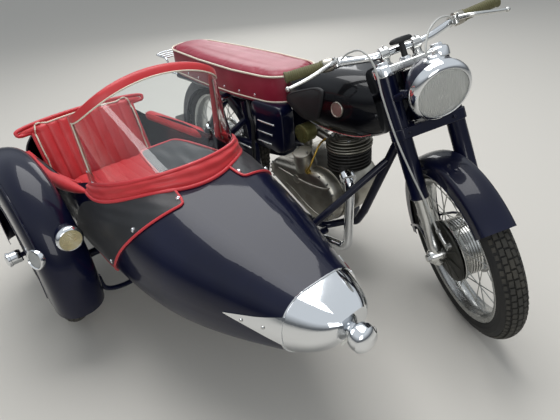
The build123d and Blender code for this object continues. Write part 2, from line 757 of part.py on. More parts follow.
# The band and the screen meet on a plane that rises forward
foot_plane = Plane(origin=(cockpit_front, body_centre, 635), z_dir=(-0.237, 0, 1))
with BuildPart() as scuttle_band:
    bowed_cone(590, 318, 282, 720, 262, 252)
    with BuildPart(mode=Mode.PRIVATE) as band_inside:
        bowed_cone(590, 296, 262, 720, 240, 232)
    add(band_inside.part, mode=Mode.SUBTRACT)
    split(bisect_by=Plane(origin=(screen_edge, 0, 0), z_dir=(1, 0, 0)))
    split(bisect_by=foot_plane, keep=Keep.BOTTOM)
    add(hull.part, mode=Mode.SUBTRACT)
    add(hull_skin.part, mode=Mode.SUBTRACT)

with BuildPart() as screen_inside:
    screen_cone(-screen_thickness)
with BuildPart() as windscreen:
    screen_cone(0)
    add(screen_inside.part, mode=Mode.SUBTRACT)
    split(bisect_by=Plane(origin=(screen_edge, 0, 0), z_dir=(1, 0, 0)))
    split(bisect_by=foot_plane)
    extrude(arch_outline(0), amount=600, mode=Mode.INTERSECT)

# A binding folded over the screen's top and back edges
with BuildPart() as binding_inside:
    screen_cone(-screen_thickness - 4)
with BuildPart() as window_space:
    extrude(arch_outline(binding), amount=600)
    split(bisect_by=Plane(origin=(screen_edge + binding, 0, 0), z_dir=(1, 0, 0)))
with BuildPart() as screen_binding:
    screen_cone(4)
    add(binding_inside.part, mode=Mode.SUBTRACT)
    split(bisect_by=Plane(origin=(screen_edge - 2, 0, 0), z_dir=(1, 0, 0)))
    split(bisect_by=foot_plane)
    extrude(arch_outline(-2), amount=600, mode=Mode.INTERSECT)
    add(window_space.part, mode=Mode.SUBTRACT)
    with Locations((screen_edge + binding, body_centre, screen_shoulder - 200)):
        Box(400, 800, 400, align=(Align.MIN, Align.CENTER, Align.CENTER), mode=Mode.SUBTRACT)
    add(windscreen.part, mode=Mode.SUBTRACT)

# Sidecar upholstery
with BuildPart() as seat_cushion:
    with BuildSketch(Plane.XY.offset(330)):
        with Locations((200, body_centre)):
            RectangleRounded(430, 430, 60)
    extrude(amount=110)
    fillet(seat_cushion.faces().sort_by(Axis.Z)[-1].edges(), 24)
    add(hull.part, mode=Mode.INTERSECT)

# The backrest leans back, its upper corners wide enough to lie over the armrests
lean = math.radians(back_lean)
back_up = Vector(-math.sin(lean), 0, math.cos(lean))
with BuildPart() as backrest:
    with BuildSketch(Plane(origin=back_hinge, x_dir=(0, 1, 0), z_dir=back_up.cross(Vector(0, -1, 0)))):
        with BuildLine():
            wing_low, wing_high = back_height - 48, back_height - 30
            Polyline((back_wing, wing_high), (back_wing, wing_low), (back_half, wing_low), (back_half, 0),
                     (-back_half, 0), (-back_half, wing_low), (-back_wing, wing_low), (-back_wing, wing_high))
            ThreePointArc((-back_wing, wing_high), (0, back_height), (back_wing, wing_high))
        make_face()
    extrude(amount=back_thickness / 2, both=True)
    rod(back_hinge - Vector(0, pin_end, 0), back_hinge + Vector(0, pin_end, 0), pin_diameter)

near_armrest = [(-155, -940, 535), (240, -940, 560), (525, -915, 600)]
far_armrest = [(-155, -350, 535), (360, -350, 566)]
with BuildPart() as armrests:
    tube(near_armrest, armrest_diameter, 80)
    rod(far_armrest[0], far_armrest[1], armrest_diameter)
    with Locations(near_armrest[0], near_armrest[-1], far_armrest[0]):
        Sphere(armrest_diameter / 2)
    add(hull.part, mode=Mode.SUBTRACT)
    for done in (hull_skin, scuttle_band, windscreen, screen_binding):
        add(done.part, mode=Mode.SUBTRACT)

# Sidecar chassis, its wheel axle and the struts that tie it to the motorcycle
with BuildPart() as sidecar_chassis:
    for y in chassis_rails:
        tube([(cross_front + 50, y, chassis_height), (-160, y, chassis_height), (-290, y, 246)], 36, 80)
    for x in (cross_front, sidecar_wheel_x, cross_rear):
        rod((x, chassis_rails[0], chassis_height), (x, chassis_rails[1], chassis_height), 34)
        for mount in (body_centre - 90, body_centre + 90):
            rod((x, mount, chassis_height), (x, mount, chassis_height + 80), 44)
    rod((cross_front, chassis_rails[1], chassis_height), (cross_front, -rail_half - 19, rail_height), 30)
    tube([(sidecar_wheel_x, chassis_rails[0], chassis_height),
          (sidecar_wheel_x, -968, chassis_height), (sidecar_wheel_x, -984, wheel_radius)], 34, 30)
    rod((sidecar_wheel_x, -970, wheel_radius), (sidecar_wheel_x, -1000, wheel_radius), 52)
    rod((sidecar_wheel_x, -984, wheel_radius),
        (sidecar_wheel_x, axle_end, wheel_radius), axle_diameter)
    rod((sidecar_wheel_x, axle_end + 50, wheel_radius), (sidecar_wheel_x, axle_end, wheel_radius), 46)
    add(hull.part, mode=Mode.SUBTRACT)

with BuildPart() as sidecar_struts:
    rod((cross_front, chassis_rails[1] + 20, chassis_height), (1066, 0, 540), 28)
    rod((cross_rear, chassis_rails[1], chassis_height), (330, -rail_half, 262), 34)
    rod((60, chassis_rails[1], chassis_height), (348, -rail_half, 560), 28)
    for done in (main_frame, sidecar_chassis, hull, hull_skin, rear_fork, rear_shocks, exhaust_pipe,
                 silencer, crankcase, cylinder_barrel, cylinder_head, rear_covers, tool_boxes):
        add(done.part, mode=Mode.SUBTRACT)

wheel_centre = Vector(sidecar_wheel_x, sidecar_wheel_y, wheel_radius)
with BuildPart() as sidecar_mudguard:
    guard(wheel_centre + Vector(0, 8, 0), -16, 196, sidecar_guard_radius, sidecar_guard_half,
          sidecar_guard_depth, 4)
    for ahead in (-1, 1):
        tube([(sidecar_wheel_x + ahead * 300, chassis_rails[0], chassis_height),
              (sidecar_wheel_x + ahead * 310, -950, chassis_height + 10),
              (sidecar_wheel_x + ahead * 310, sidecar_wheel_y + 84, wheel_radius - 20)], 20, 24)
    for done in (hull, hull_skin, sidecar_chassis):
        add(done.part, mode=Mode.SUBTRACT)

with BuildPart() as mudguard_lamp:
    spot = wheel_centre + Vector(0, 40, 0) + Vector(
        math.cos(math.radians(28)), 0, math.sin(math.radians(28))) * sidecar_guard_radius
    rod(spot - Vector(30, 0, 0), spot + Vector(22, 0, 0), 84)
    add(sidecar_mudguard.part, mode=Mode.SUBTRACT)

# Everything is named here: what stays on the frame, what turns with the fork and what tips forward
fixed = {
    "main_frame": main_frame, "rear_fork": rear_fork, "rear_shocks": rear_shocks,
    "fuel_tank": fuel_tank, "knee_pads": knee_pads, "filler_cap": filler_cap,
    "dual_seat": dual_seat, "rear_mudguard": rear_mudguard, "luggage_rack": luggage_rack,
    "rear_lamp": rear_lamp, "number_plate": number_plate, "tool_boxes": tool_boxes,
    "rear_covers": rear_covers, "crankcase": crankcase, "cylinder_barrel": cylinder_barrel,
    "cylinder_head": cylinder_head, "carburettor": carburettor, "exhaust_pipe": exhaust_pipe,
    "silencer": silencer, "chain_case": chain_case, "foot_controls": foot_controls,
    "sidecar_body": sidecar_body, "nose_cap": nose_cap, "bullet_lamp": bullet_lamp,
    "apron": apron, "scuttle_band": scuttle_band, "windscreen": windscreen,
    "screen_binding": screen_binding, "seat_cushion": seat_cushion, "armrests": armrests,
    "sidecar_chassis": sidecar_chassis, "sidecar_struts": sidecar_struts,
    "sidecar_mudguard": sidecar_mudguard, "mudguard_lamp": mudguard_lamp, "backrest": backrest,
}
steered = {
    "fork_sliders": fork_sliders, "fork_shrouds": fork_shrouds, "top_yoke": top_yoke,
    "damper_knob": damper_knob, "handlebar": handlebar, "grips": grips,
    "control_levers": control_levers, "headlamp_shell": headlamp_shell,
    "headlamp_rim": headlamp_rim, "headlamp_lens": headlamp_lens,
    "front_mudguard": front_mudguard, "front_brake_plate": front_brake_plate,
}

pieces = {name: sub_part.part for name, sub_part in fixed.items()}
for name, sub_part in steered.items():
    pieces[name] = sub_part.part.rotate(steering_axis, steer_angle)
for place, spot in wheel_spots.items():
    for name, sub_part in (("wheel", wheel), ("tyre", tyre)):
        stood = sub_part.part.rotate(Axis.X, 90).moved(Location(spot))
        if place == "front":
            stood = stood.rotate(steering_axis, steer_angle)
        pieces[f"{place}_{name}"] = stood

boxes = [piece.bounding_box() for piece in pieces.values()]
low = Vector(*[min(getattr(box.min, axis) for box in boxes) for axis in "XYZ"])
high = Vector(*[max(getattr(box.max, axis) for box in boxes) for axis in "XYZ"])
shift = Vector(-(low.X + high.X) / 2, -(low.Y + high.Y) / 2, -low.Z)
os.makedirs("parts", exist_ok=True)
for name, piece in pieces.items():
    placed = piece.moved(Location(shift))
    placed.label = name
    export_step(placed, f"parts/{name}.step")

turned_wheel_axis = Vector(0, 1, 0).rotate(Axis((0, 0, 0), up_axis), steer_angle)
print("size", high - low, "moved by", shift)
print("steering", steering_base + shift, up_axis)
print("front wheel axis", turned_wheel_axis)
print("front axle", Vertex(*front_axle).rotate(steering_axis, steer_angle).center() + shift)
print("rear axle", rear_axle + shift)
print("sidecar wheel", wheel_centre + shift)
print("backrest hinge", back_hinge + shift)
for boss in mirror_bosses:
    print("mirror boss", Vertex(*boss).rotate(steering_axis, steer_angle).center() + shift)
print("plate bolts", tail + Vector(-22, 0, -96) + shift)
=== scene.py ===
# %% [markdown]
# # A motorcycle and its sidecar
# This notebook dresses a classic single-cylinder motorcycle with a sidecar. Its frame, joints and
# sizes come from a finished engineering model, which is loaded first and never moved. Each later
# cell builds one visible piece round it: enamelled steel, polished alloy, chrome, rubber and
# vinyl.

# %% Load the engineering model
import json
import math

import bmesh
import bpy
import numpy as np
from mathutils import Matrix, Vector
from mathutils.bvhtree import BVHTree


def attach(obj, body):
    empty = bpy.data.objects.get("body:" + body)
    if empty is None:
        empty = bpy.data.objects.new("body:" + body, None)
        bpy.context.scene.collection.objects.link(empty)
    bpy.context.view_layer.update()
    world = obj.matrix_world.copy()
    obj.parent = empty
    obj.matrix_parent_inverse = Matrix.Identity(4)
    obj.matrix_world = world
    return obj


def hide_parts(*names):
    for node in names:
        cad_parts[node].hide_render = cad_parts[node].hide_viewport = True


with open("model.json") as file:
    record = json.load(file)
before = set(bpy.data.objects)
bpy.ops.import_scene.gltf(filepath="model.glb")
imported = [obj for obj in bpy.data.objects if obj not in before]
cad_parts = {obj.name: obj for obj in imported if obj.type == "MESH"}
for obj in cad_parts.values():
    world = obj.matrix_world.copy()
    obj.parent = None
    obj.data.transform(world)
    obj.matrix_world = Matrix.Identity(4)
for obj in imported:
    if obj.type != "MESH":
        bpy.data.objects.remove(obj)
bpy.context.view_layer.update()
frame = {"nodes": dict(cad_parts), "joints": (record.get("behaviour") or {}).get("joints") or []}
scene = bpy.context.scene
MM = 0.001

# %% [markdown]
# ## Two ways to say where a thing is
# A maker measures a motorcycle from its rear axle and its fork from the steering axis. The same
# two habits are used here: `at` takes millimetres ahead of the rear axle, to its left and above
# the ground, and `on_fork` takes millimetres up the steering axis, ahead of it and to its left.
# The fork is parked turned to the right, so its three directions come from the model's joints.

# %% Measuring from the axles
joints = {joint["name"]: joint for joint in frame["joints"]}
rear_axle = Vector(joints["rear_wheel_spin"]["pos_m"])
front_axle = Vector(joints["front_wheel_spin"]["pos_m"])
sidecar_axle = Vector(joints["sidecar_wheel_spin"]["pos_m"])
steer_base = Vector(joints["steering"]["pos_m"])
FORWARD, LEFT, UP = Vector((1, 0, 0)), Vector((0, 1, 0)), Vector((0, 0, 1))
fork_up = Vector(joints["steering"]["axis"]).normalized()
fork_left = Vector(joints["front_wheel_spin"]["axis"]).normalized()
fork_ahead = fork_left.cross(fork_up)
body_y = -640.0


def at(x, y, z):
    """A point in millimetres ahead of the rear axle, to its left and above the ground."""
    return Vector((rear_axle.x + x * MM, rear_axle.y + y * MM, z * MM))


def on_fork(along, ahead=0.0, side=0.0):
    """A point in millimetres up the steering axis, ahead of it and to the rider's left."""
    return steer_base + (fork_up * along + fork_ahead * ahead + fork_left * side) * MM


print("front axle up the fork", round((front_axle - steer_base).dot(fork_up) / MM, 1), "mm")

# %% [markdown]
# ## The camera
# The camera stands ahead of the outfit on the sidecar's side, a little above head height of a
# seated rider, and looks down on it with a wide lens. Its place, its turn and its lens are named,
# and its three directions are worked out from two angles and a small roll.

# %% Camera
camera_spot = (2045.8, -1281.7, 1332.5)
camera_turn, camera_drop, camera_roll = [math.radians(angle) for angle in (142.28, 31.72, -5.79)]
lens_length, sensor = 30.78, 36.0
look = Vector((math.cos(camera_turn) * math.cos(camera_drop),
               math.sin(camera_turn) * math.cos(camera_drop), -math.sin(camera_drop)))
level_right = look.cross(UP).normalized()
level_up = level_right.cross(look)
right = level_right * math.cos(camera_roll) + level_up * math.sin(camera_roll)
above = level_up * math.cos(camera_roll) - level_right * math.sin(camera_roll)
camera_data = bpy.data.cameras.new("camera")
camera_data.lens, camera_data.sensor_width = lens_length, sensor
camera = bpy.data.objects.new("camera", camera_data)
scene.collection.objects.link(camera)
camera.matrix_world = Matrix.Translation(at(*camera_spot)) @ Matrix(
    (right, above, -look)).transposed().to_4x4()
scene.camera = camera
print("camera at", [round(value, 3) for value in camera.location])

# %% [markdown]
# ## A small kit for materials
# Every finish is built from shader nodes. One function adds a node with its settings and its
# links, and one turns a colour written as sRGB hex into the linear numbers that a shader wants.

# %% Node and colour helpers


def add_node(tree, kind, inputs=None, **settings):
    """Adds a node to a tree, sets its properties, then fills its inputs with values or links."""
    node = tree.nodes.new(kind)
    for name, value in settings.items():
        setattr(node, name, value)
    for name, value in (inputs or {}).items():
        if isinstance(value, bpy.types.NodeSocket):
            tree.links.new(value, node.inputs[name])
        else:
            node.inputs[name].default_value = value
    return node


def colour(hex_code):
    """The linear colour of an sRGB hex code."""
    parts = [int(hex_code[place:place + 2], 16) / 255 for place in (1, 3, 5)]
    linear = [part / 12.92 if part <= 0.04045 else ((part + 0.055) / 1.055) ** 2.4
              for part in parts]
    return (*linear, 1.0)


def finish(name, hex_code, **shader):
    """A material with one surface shader: returns it, its tree and the shader node."""
    made = bpy.data.materials.new(name)
    made.use_nodes = True
    made.diffuse_color = colour(hex_code)
    tree = made.node_tree
    surface = tree.nodes["Principled BSDF"]
    surface.inputs["Base Color"].default_value = colour(hex_code)
    for socket, value in shader.items():
        surface.inputs[socket.replace("_", " ")].default_value = value
    return made, tree, surface


def noise(tree, size_mm, detail=2.0, stretch=(1, 1, 1)):
    """Soft noise on the object's own coordinates, its lumps about size_mm across."""
    place = add_node(tree, "ShaderNodeTexCoord")
    scaled = add_node(tree, "ShaderNodeMapping",
        {"Vector": place.outputs["Object"], "Scale": stretch})
    return add_node(tree, "ShaderNodeTexNoise", {
        "Vector": scaled.outputs["Vector"], "Scale": 1000 / size_mm, "Detail": detail})


def vary(tree, surface, source, low_hex, high_hex, low=0.35, high=0.65):
    """Colours the surface between two hex codes as a pattern rises."""
    ramp = add_node(tree, "ShaderNodeValToRGB", {"Fac": source})
    for stop, position, hex_code in zip(ramp.color_ramp.elements, (low, high), (low_hex, high_hex)):
        stop.position, stop.color = position, colour(hex_code)
    tree.links.new(ramp.outputs["Color"], surface.inputs["Base Color"])


def spread(tree, surface, source, socket, low, high):
    """Drives one of the shader's numbers between two values as a pattern rises."""
    span = add_node(tree, "ShaderNodeMapRange", {"Value": source, "To Min": low, "To Max": high})
    tree.links.new(span.outputs["Result"], surface.inputs[socket])


def relief(tree, surface, source, depth_mm, strength=1.0, sockets=("Normal",)):
    """Raises and lowers the surface by a pattern, depth_mm from its lowest to its highest."""
    bump = add_node(tree, "ShaderNodeBump", {
        "Height": source, "Distance": depth_mm * MM, "Strength": strength})
    for socket in sockets:
        tree.links.new(bump.outputs["Normal"], surface.inputs[socket])


# %% [markdown]
# ## Paint and bright metal
# Stoved enamel is a coloured coat under a hard clear skin. A very dark base under a clear coat
# gives the deep, wet look, and the skin has a faint orange peel that bends its reflections.
# Chrome and polished alloy differ mainly in how sharp they mirror and how warm they are.

# %% Enamels


def enamel(name, hex_code, dust_hex):
    """Gloss enamel: a dark base, a clear skin with faint orange peel, and a breath of dust."""
    made, tree, surface = finish(name, hex_code, Roughness=0.35, Specular_IOR_Level=0.12,
        Coat_Weight=0.62,
                                 Coat_Roughness=0.03, Coat_IOR=1.4)
    vary(tree, surface, noise(tree, 240, 4).outputs["Fac"], hex_code, dust_hex, 0.45, 0.8)
    relief(tree, surface, noise(tree, 7, 1).outputs["Fac"], 0.05, 0.25, ("Coat Normal",))
    return made


navy = enamel("navy_stoved_enamel", "#070B24", "#0C1230")
tank_black = enamel("blue_black_stoved_enamel", "#04050A", "#080A12")
white_enamel = enamel("white_stoved_enamel", "#DCDCD6", "#CFCFC8")


# %% Bright metals
def bright(name, hex_code, roughness, smear_mm, stretch=(1, 1, 1)):
    """Bare or plated metal, its gloss broken by wiping marks of about smear_mm."""
    made, tree, surface = finish(name, hex_code, Metallic=1.0)
    smear = noise(tree, smear_mm, 3, stretch).outputs["Fac"]
    spread(tree, surface, smear, "Roughness", roughness * 0.7, roughness * 1.5)
    return made


chrome = bright("chromium_plate", "#E4E6E8", 0.06, 60)
polished_alloy = bright("polished_aluminium", "#CDCDCA", 0.2, 12, (1, 1, 4))
rim_steel = bright("brushed_rim_steel", "#A9AAA8", 0.26, 9, (1, 5, 1))
spoke_wire = bright("zinc_plated_spoke_wire", "#A8A8A4", 0.34, 14)
strip_alloy = bright("bright_aluminium_trim", "#E6E6E2", 0.15, 20)
mirror = bright("silvered_reflector", "#F1F0EA", 0.09, 40)
brass = bright("yellow_brass", "#B99A4B", 0.3, 10)


def casting(name, hex_code, shade_hex, roughness, grain_mm=1.6, metallic=1.0):
    """Cast metal: a fine sandy skin, patchy where oil and heat have stained it."""
    made, tree, surface = finish(name, hex_code, Metallic=metallic)
    stain = noise(tree, 55, 5).outputs["Fac"]
    vary(tree, surface, stain, shade_hex, hex_code)
    spread(tree, surface, stain, "Roughness", roughness * 1.25, roughness * 0.8)
    relief(tree, surface, noise(tree, grain_mm, 2).outputs["Fac"], 0.25, 0.35)
    return made


case_alloy = casting("satin_cast_aluminium", "#B5B2A8", "#979389", 0.4)
head_alloy = casting("heat_stained_aluminium", "#9A978B", "#78746A", 0.5)
drum_alloy = casting("grey_cast_drum", "#4E4E4A", "#3A3A37", 0.5)
iron = casting("black_stoved_cast_iron", "#3A3835", "#282624", 0.6, grain_mm=2.2, metallic=0.3)
olive_plate = casting("olive_passivated_zinc", "#8C8A5A", "#6E6C42", 0.42, grain_mm=3.0,
    metallic=0.7)

# %% [markdown]
# ## Rubber, vinyl and glass
# Leathercloth is vinyl pressed with a leather grain, which is a net of small rounded cells: that
# is what a Voronoi pattern draws. Rubber is matt and dusty. Glass and clear acrylic transmit, and
# the lamp's glass is pressed with upright ribs that spread its beam.

# %% Rubber and leathercloth


def rubber(name, hex_code, dust_hex, roughness=0.7):
    """Moulded rubber with dust lying in broad patches."""
    made, tree, surface = finish(name, hex_code)
    dust = noise(tree, 70, 5).outputs["Fac"]
    vary(tree, surface, dust, hex_code, dust_hex, 0.4, 0.75)
    spread(tree, surface, dust, "Roughness", roughness * 0.85, min(1.0, roughness * 1.2))
    relief(tree, surface, noise(tree, 2.5, 2).outputs["Fac"], 0.15, 0.3)
    return made


def leathercloth(name, hex_code, worn_hex, grain_mm=2.4, roughness=0.42):
    """Vinyl with a pressed leather grain, a little paler where it is stretched and rubbed."""
    made, tree, surface = finish(name, hex_code, Sheen_Weight=0.12, Sheen_Roughness=0.4)
    place = add_node(tree, "ShaderNodeTexCoord")
    cells = add_node(tree, "ShaderNodeTexVoronoi", {
        "Vector": place.outputs["Object"], "Scale": 1000 / grain_mm}, feature="DISTANCE_TO_EDGE")
    rub = noise(tree, 90, 4).outputs["Fac"]
    vary(tree, surface, rub, hex_code, worn_hex, 0.4, 0.8)
    spread(tree, surface, rub, "Roughness", roughness * 1.1, roughness * 0.85)
    relief(tree, surface, cells.outputs["Distance"], 0.35, 0.3)
    return made


tyre_rubber = rubber("dark_tyre_sidewall_rubber", "#1A1A1A", "#2A2926", 0.78)
tread_rubber = rubber("dusty_tread_rubber", "#34332F", "#4B4841", 0.9)
black_rubber = rubber("black_moulded_rubber", "#0F1012", "#1A1B1D", 0.62)
khaki_rubber = rubber("khaki_grip_rubber", "#5E5B3A", "#6B6846", 0.62)
grey_sheath = rubber("pale_grey_cable_sheath", "#C2C3BF", "#B1B2AD", 0.38)
burgundy = leathercloth("burgundy_leathercloth", "#8E1C33", "#9E2C42")
red_vinyl = leathercloth("red_leathercloth", "#CB2E33", "#D84347")
black_vinyl = leathercloth("black_leathercloth", "#17181B", "#232529", 2.4, 0.46)
cream_piping = leathercloth("cream_vinyl_piping", "#E8E0CC", "#DDD4BD", 1.6, 0.4)
red_piping = leathercloth("red_vinyl_piping", "#D0323A", "#DC454C", 1.6, 0.36)

# %% Glass and lenses


def clear(name, hex_code, roughness=0.0, ior=1.49, through=1.0, ribs_mm=None, across=(0, 1, 0)):
    """Clear sheet or pressed glass: with ribs_mm, upright ribs of that pitch spread the light."""
    made, tree, surface = finish(name, hex_code, Roughness=roughness, IOR=ior,
        Transmission_Weight=through)
    if ribs_mm:
        place = add_node(tree, "ShaderNodeTexCoord")
        offset = add_node(tree, "ShaderNodeVectorMath", {
            0: place.outputs["Object"], 1: across}, operation="DOT_PRODUCT")
        turns = add_node(tree, "ShaderNodeMath", {
            0: offset.outputs["Value"], 1: 2 * math.pi / (ribs_mm * MM)}, operation="MULTIPLY")
        wave = add_node(tree, "ShaderNodeMath", {0: turns.outputs[0]}, operation="SINE")
        relief(tree, surface, wave.outputs[0], 0.8, 0.8)
    return made


acrylic = clear("clear_acrylic_sheet", "#F4F8F8")
lamp_glass = clear("ribbed_lamp_glass", "#E9EAE6", roughness=0.06, ior=1.3, through=0.5,
    ribs_mm=5.5,
                   across=tuple(fork_left))
side_lens = clear("fluted_side_lamp_lens", "#EFE4BC", roughness=0.12, ior=1.4, through=0.5)
red_lens, red_tree, red_surface = finish("ruby_lamp_lens", "#A01018", Roughness=0.1,
    Coat_Weight=1.0)
relief(red_tree, red_surface, noise(red_tree, 3, 0).outputs["Fac"], 0.4, 0.6)
print(len(bpy.data.materials), "materials so far")

# %% [markdown]
# ## A small kit for meshes
# Most pieces of a motorcycle are turned, drawn as tube, or pressed over a former. So there are
# three makers: `turned` spins a profile about an axis, `piped` runs a round section along a
# smooth path, and `skin` stretches a skin over a row of rings. `piece` names the result, shades
# it smoothly except at real edges, gives it its finish and ties it to the body that it moves
# with.

# %% Mesh makers


def piece(name, bm, material, body, edge=34, bevel=0.0, levels=0, replaces=(), slot=None):
    """Turns a bmesh into a named, finished object that rides on a body."""
    mesh = bpy.data.meshes.new(name)
    bmesh.ops.remove_doubles(bm, verts=bm.verts, dist=1e-6)
    bmesh.ops.recalc_face_normals(bm, faces=bm.faces)
    bm.to_mesh(mesh)
    bm.free()
    mesh.materials.append(material)
    return settle(bpy.data.objects.new(name, mesh), body, edge, bevel, levels, replaces, slot)


def settle(made, body, edge=34, bevel=0.0, levels=0, replaces=(), slot=None):
    """Links an object, shades it, softens its edges and ties it to its body."""
    if made.name not in scene.collection.objects:
        scene.collection.objects.link(made)
    made.data.shade_smooth()
    if not levels:
        made.data.set_sharp_from_angle(angle=math.radians(edge))
    if bevel:
        rounding = made.modifiers.new("edge", "BEVEL")
        rounding.width, rounding.segments = bevel * MM, 2
        rounding.limit_method, rounding.angle_limit = "ANGLE", math.radians(edge)
        rounding.harden_normals = False
    if levels:
        smoother = made.modifiers.new("surface", "SUBSURF")
        smoother.levels = smoother.render_levels = levels
    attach(made, body)
    if replaces:
        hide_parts(*replaces)
    return made


def square_to(axis):
    """Two directions square to an axis and to each other, which make a right-handed set."""
    first = axis.cross(UP if abs(axis.z) < 0.9 else FORWARD).normalized()
    return first, axis.normalized().cross(first)


def ring_faces(bm, rings, closed=True):
    """Quads between neighbouring rings of vertices; a ring of one vertex is a tip."""
    for low, high in zip(rings, rings[1:]):
        count = max(len(low), len(high))
        for step in range(count if closed else count - 1):
            after = (step + 1) % count
            corners = [low[step % len(low)], low[after % len(low)],
                       high[after % len(high)], high[step % len(high)]]
            unique = list(dict.fromkeys(corners))
            if len(unique) > 2:
                bm.faces.new(unique)


def skin(bm, rings, caps=True):
    """A closed skin through rings of points."""
    made = [[bm.verts.new(point) for point in ring] for ring in rings]
    ring_faces(bm, made)
    if caps:
        bm.faces.new(made[0])
        bm.faces.new(made[-1])


def full_turn(count):
    """Evenly spaced angles round a whole turn."""
    return [2 * math.pi * step / count for step in range(count)]


def flat(points):
    """Pairs of numbers as points of a plane."""
    return [Vector((across, up, 0)) for across, up in points]


def turn(bm, profile, origin, axis, steps=64, closed=False, sweep=360.0, start=None):
    """Spins a profile of (along, radius) pairs in millimetres about an axis through a point."""
    axis = axis.normalized()
    first, second = square_to(axis)
    if start is not None:
        first = start.normalized()
        second = axis.cross(first)
    whole = abs(sweep - 360.0) < 0.01
    columns = steps if whole else steps + 1
    rings = []
    for along, radius in profile:
        if radius < 0.01:
            rings.append([bm.verts.new(origin + axis * along * MM)])
            continue
        ring = []
        for step in range(columns):
            angle = math.radians(sweep) * step / steps
            outward = first * math.cos(angle) + second * math.sin(angle)
            ring.append(bm.verts.new(origin + (axis * along + outward * radius) * MM))
        rings.append(ring)
    if closed:
        rings.append(rings[0])
    ring_faces(bm, rings, whole)
    return rings


def arc(centre, radius, first, last, steps=8):
    """Points of an arc in a profile: angles in degrees, 0 along the axis and 90 outwards."""
    angles = [math.radians(first + (last - first) * step / steps) for step in range(steps + 1)]
    return [(centre[0] + radius * math.cos(a), centre[1] + radius * math.sin(a)) for a in angles]


def turned(name, profile, origin, axis, material, body, steps=64, closed=False, **how):
    """A turned piece."""
    bm = bmesh.new()
    turn(bm, profile, origin, axis, steps, closed)
    return piece(name, bm, material, body, **how)


def smooth_path(points, per_span=8):
    """A smooth line through points, with per_span steps between each pair."""
    spots = [Vector(point) for point in points]
    ends = [spots[0] * 2 - spots[1], *spots, spots[-1] * 2 - spots[-2]]
    line = []
    for a, b, c, d in zip(ends, ends[1:], ends[2:], ends[3:]):
        for step in range(per_span):
            t = step / per_span
            line.append(0.5 * (2 * b + (c - a) * t + (2 * a - 5 * b + 4 * c - d) * t * t
                               + (3 * b - a - 3 * c + d) * t ** 3))
    return [*line, spots[-1]]


def smooth_loop(pairs, per_span):
    """A smooth closed line through pairs of numbers in a plane."""
    return smooth_path(flat((*pairs, pairs[0])), per_span)[:-1]


def pipe(bm, line, radius, steps=14, caps=True, loop=False):
    """A round section of a radius in millimetres, or one for each point, carried along a line."""
    count = len(line)
    radii = radius if hasattr(radius, "__len__") else [radius] * count
    side, rings = None, []
    for number, spot in enumerate(line):
        before = line[number - 1] if number or loop else spot
        after = line[(number + 1) % count] if number < count - 1 or loop else spot
        tangent = (after - before).normalized()
        if side is None:
            side = square_to(tangent)[0]
        else:
            side = (side - tangent * side.dot(tangent)).normalized()
        other = tangent.cross(side)
        wide = radii[number]
        rings.append([bm.verts.new(spot + (side * math.cos(a) + other * math.sin(a)) * wide * MM)
                      for a in full_turn(steps)])
    if loop:
        rings.append(rings[0])
    ring_faces(bm, rings)
    if caps and not loop:
        bm.faces.new(rings[0])
        bm.faces.new(rings[-1])


def piped(name, lines, radius, material, body, steps=14, **how):
    """One or more round bars along lines, as one piece."""
    bm = bmesh.new()
    for line in lines:
        pipe(bm, line, radius, steps)
    return piece(name, bm, material, body, **how)


def slab(bm, outline, low, high):
    """A flat plate: an outline of points, pushed from offset low to offset high."""
    skin(bm, [[point + offset for point in outline] for offset in (low, high)])


def bolt_heads(bm, spots, axis, across, height, sides=6):
    """Hexagon heads with a turned top, at spots, pointing along an axis."""
    for spot in spots:
        turn(bm, [(0, 0), (0, across / 2), (height * 0.8, across / 2), (height, across * 0.42),
                  (height, 0)],
             spot, axis, sides)


# %% [markdown]
# ## Repeats by Geometry Nodes
# Spokes, tread blocks, ribs and fins are one shape said many times. A small node tree takes the
# shape, how many, and the turn or step between copies, and makes the rest. Its copies are made
# real at the end and the result is kept as a plain mesh, so that it can be exported.

# %% Node trees for copies


def copies_tree(name, circular):
    """A tree that repeats its geometry round an axis, or along a step."""
    tree = bpy.data.node_groups.new(name, "GeometryNodeTree")
    face = tree.interface
    face.new_socket("Geometry", in_out="INPUT", socket_type="NodeSocketGeometry")
    sizes = [("Count", "NodeSocketInt"), ("Centre", "NodeSocketVector"),
             ("Direction", "NodeSocketVector"),
             ("Spacing", "NodeSocketFloat"), ("Finish", "NodeSocketMaterial")]
    for label, kind in sizes:
        face.new_socket(label, in_out="INPUT", socket_type=kind)
    face.new_socket("Geometry", in_out="OUTPUT", socket_type="NodeSocketGeometry")
    given = add_node(tree, "NodeGroupInput").outputs
    number = add_node(tree, "GeometryNodeInputIndex").outputs[0]
    travel = add_node(tree, "ShaderNodeMath", {0: number, 1: given["Spacing"]},
        operation="MULTIPLY").outputs[0]
    spots = add_node(tree, "GeometryNodePoints", {"Count": given["Count"]})
    copies = add_node(tree, "GeometryNodeInstanceOnPoints", {
        "Points": spots.outputs[0], "Instance": given["Geometry"]}).outputs["Instances"]
    if circular:
        angle = add_node(tree, "FunctionNodeAxisAngleToRotation", {
            "Axis": given["Direction"], "Angle": travel}).outputs[0]
        moved = add_node(tree, "GeometryNodeRotateInstances", {
            "Instances": copies, "Rotation": angle, "Pivot Point": given["Centre"],
                "Local Space": False})
    else:
        offset = add_node(tree, "ShaderNodeVectorMath", {
            0: given["Direction"], "Scale": travel}, operation="SCALE").outputs[0]
        moved = add_node(tree, "GeometryNodeTranslateInstances", {
            "Instances": copies, "Translation": offset, "Local Space": False})
    real = add_node(tree, "GeometryNodeRealizeInstances", {"Geometry": moved.outputs[0]})
    dressed = add_node(tree, "GeometryNodeSetMaterial", {
        "Geometry": real.outputs[0], "Material": given["Finish"]})
    add_node(tree, "NodeGroupOutput", {"Geometry": dressed.outputs[0]})
    return tree


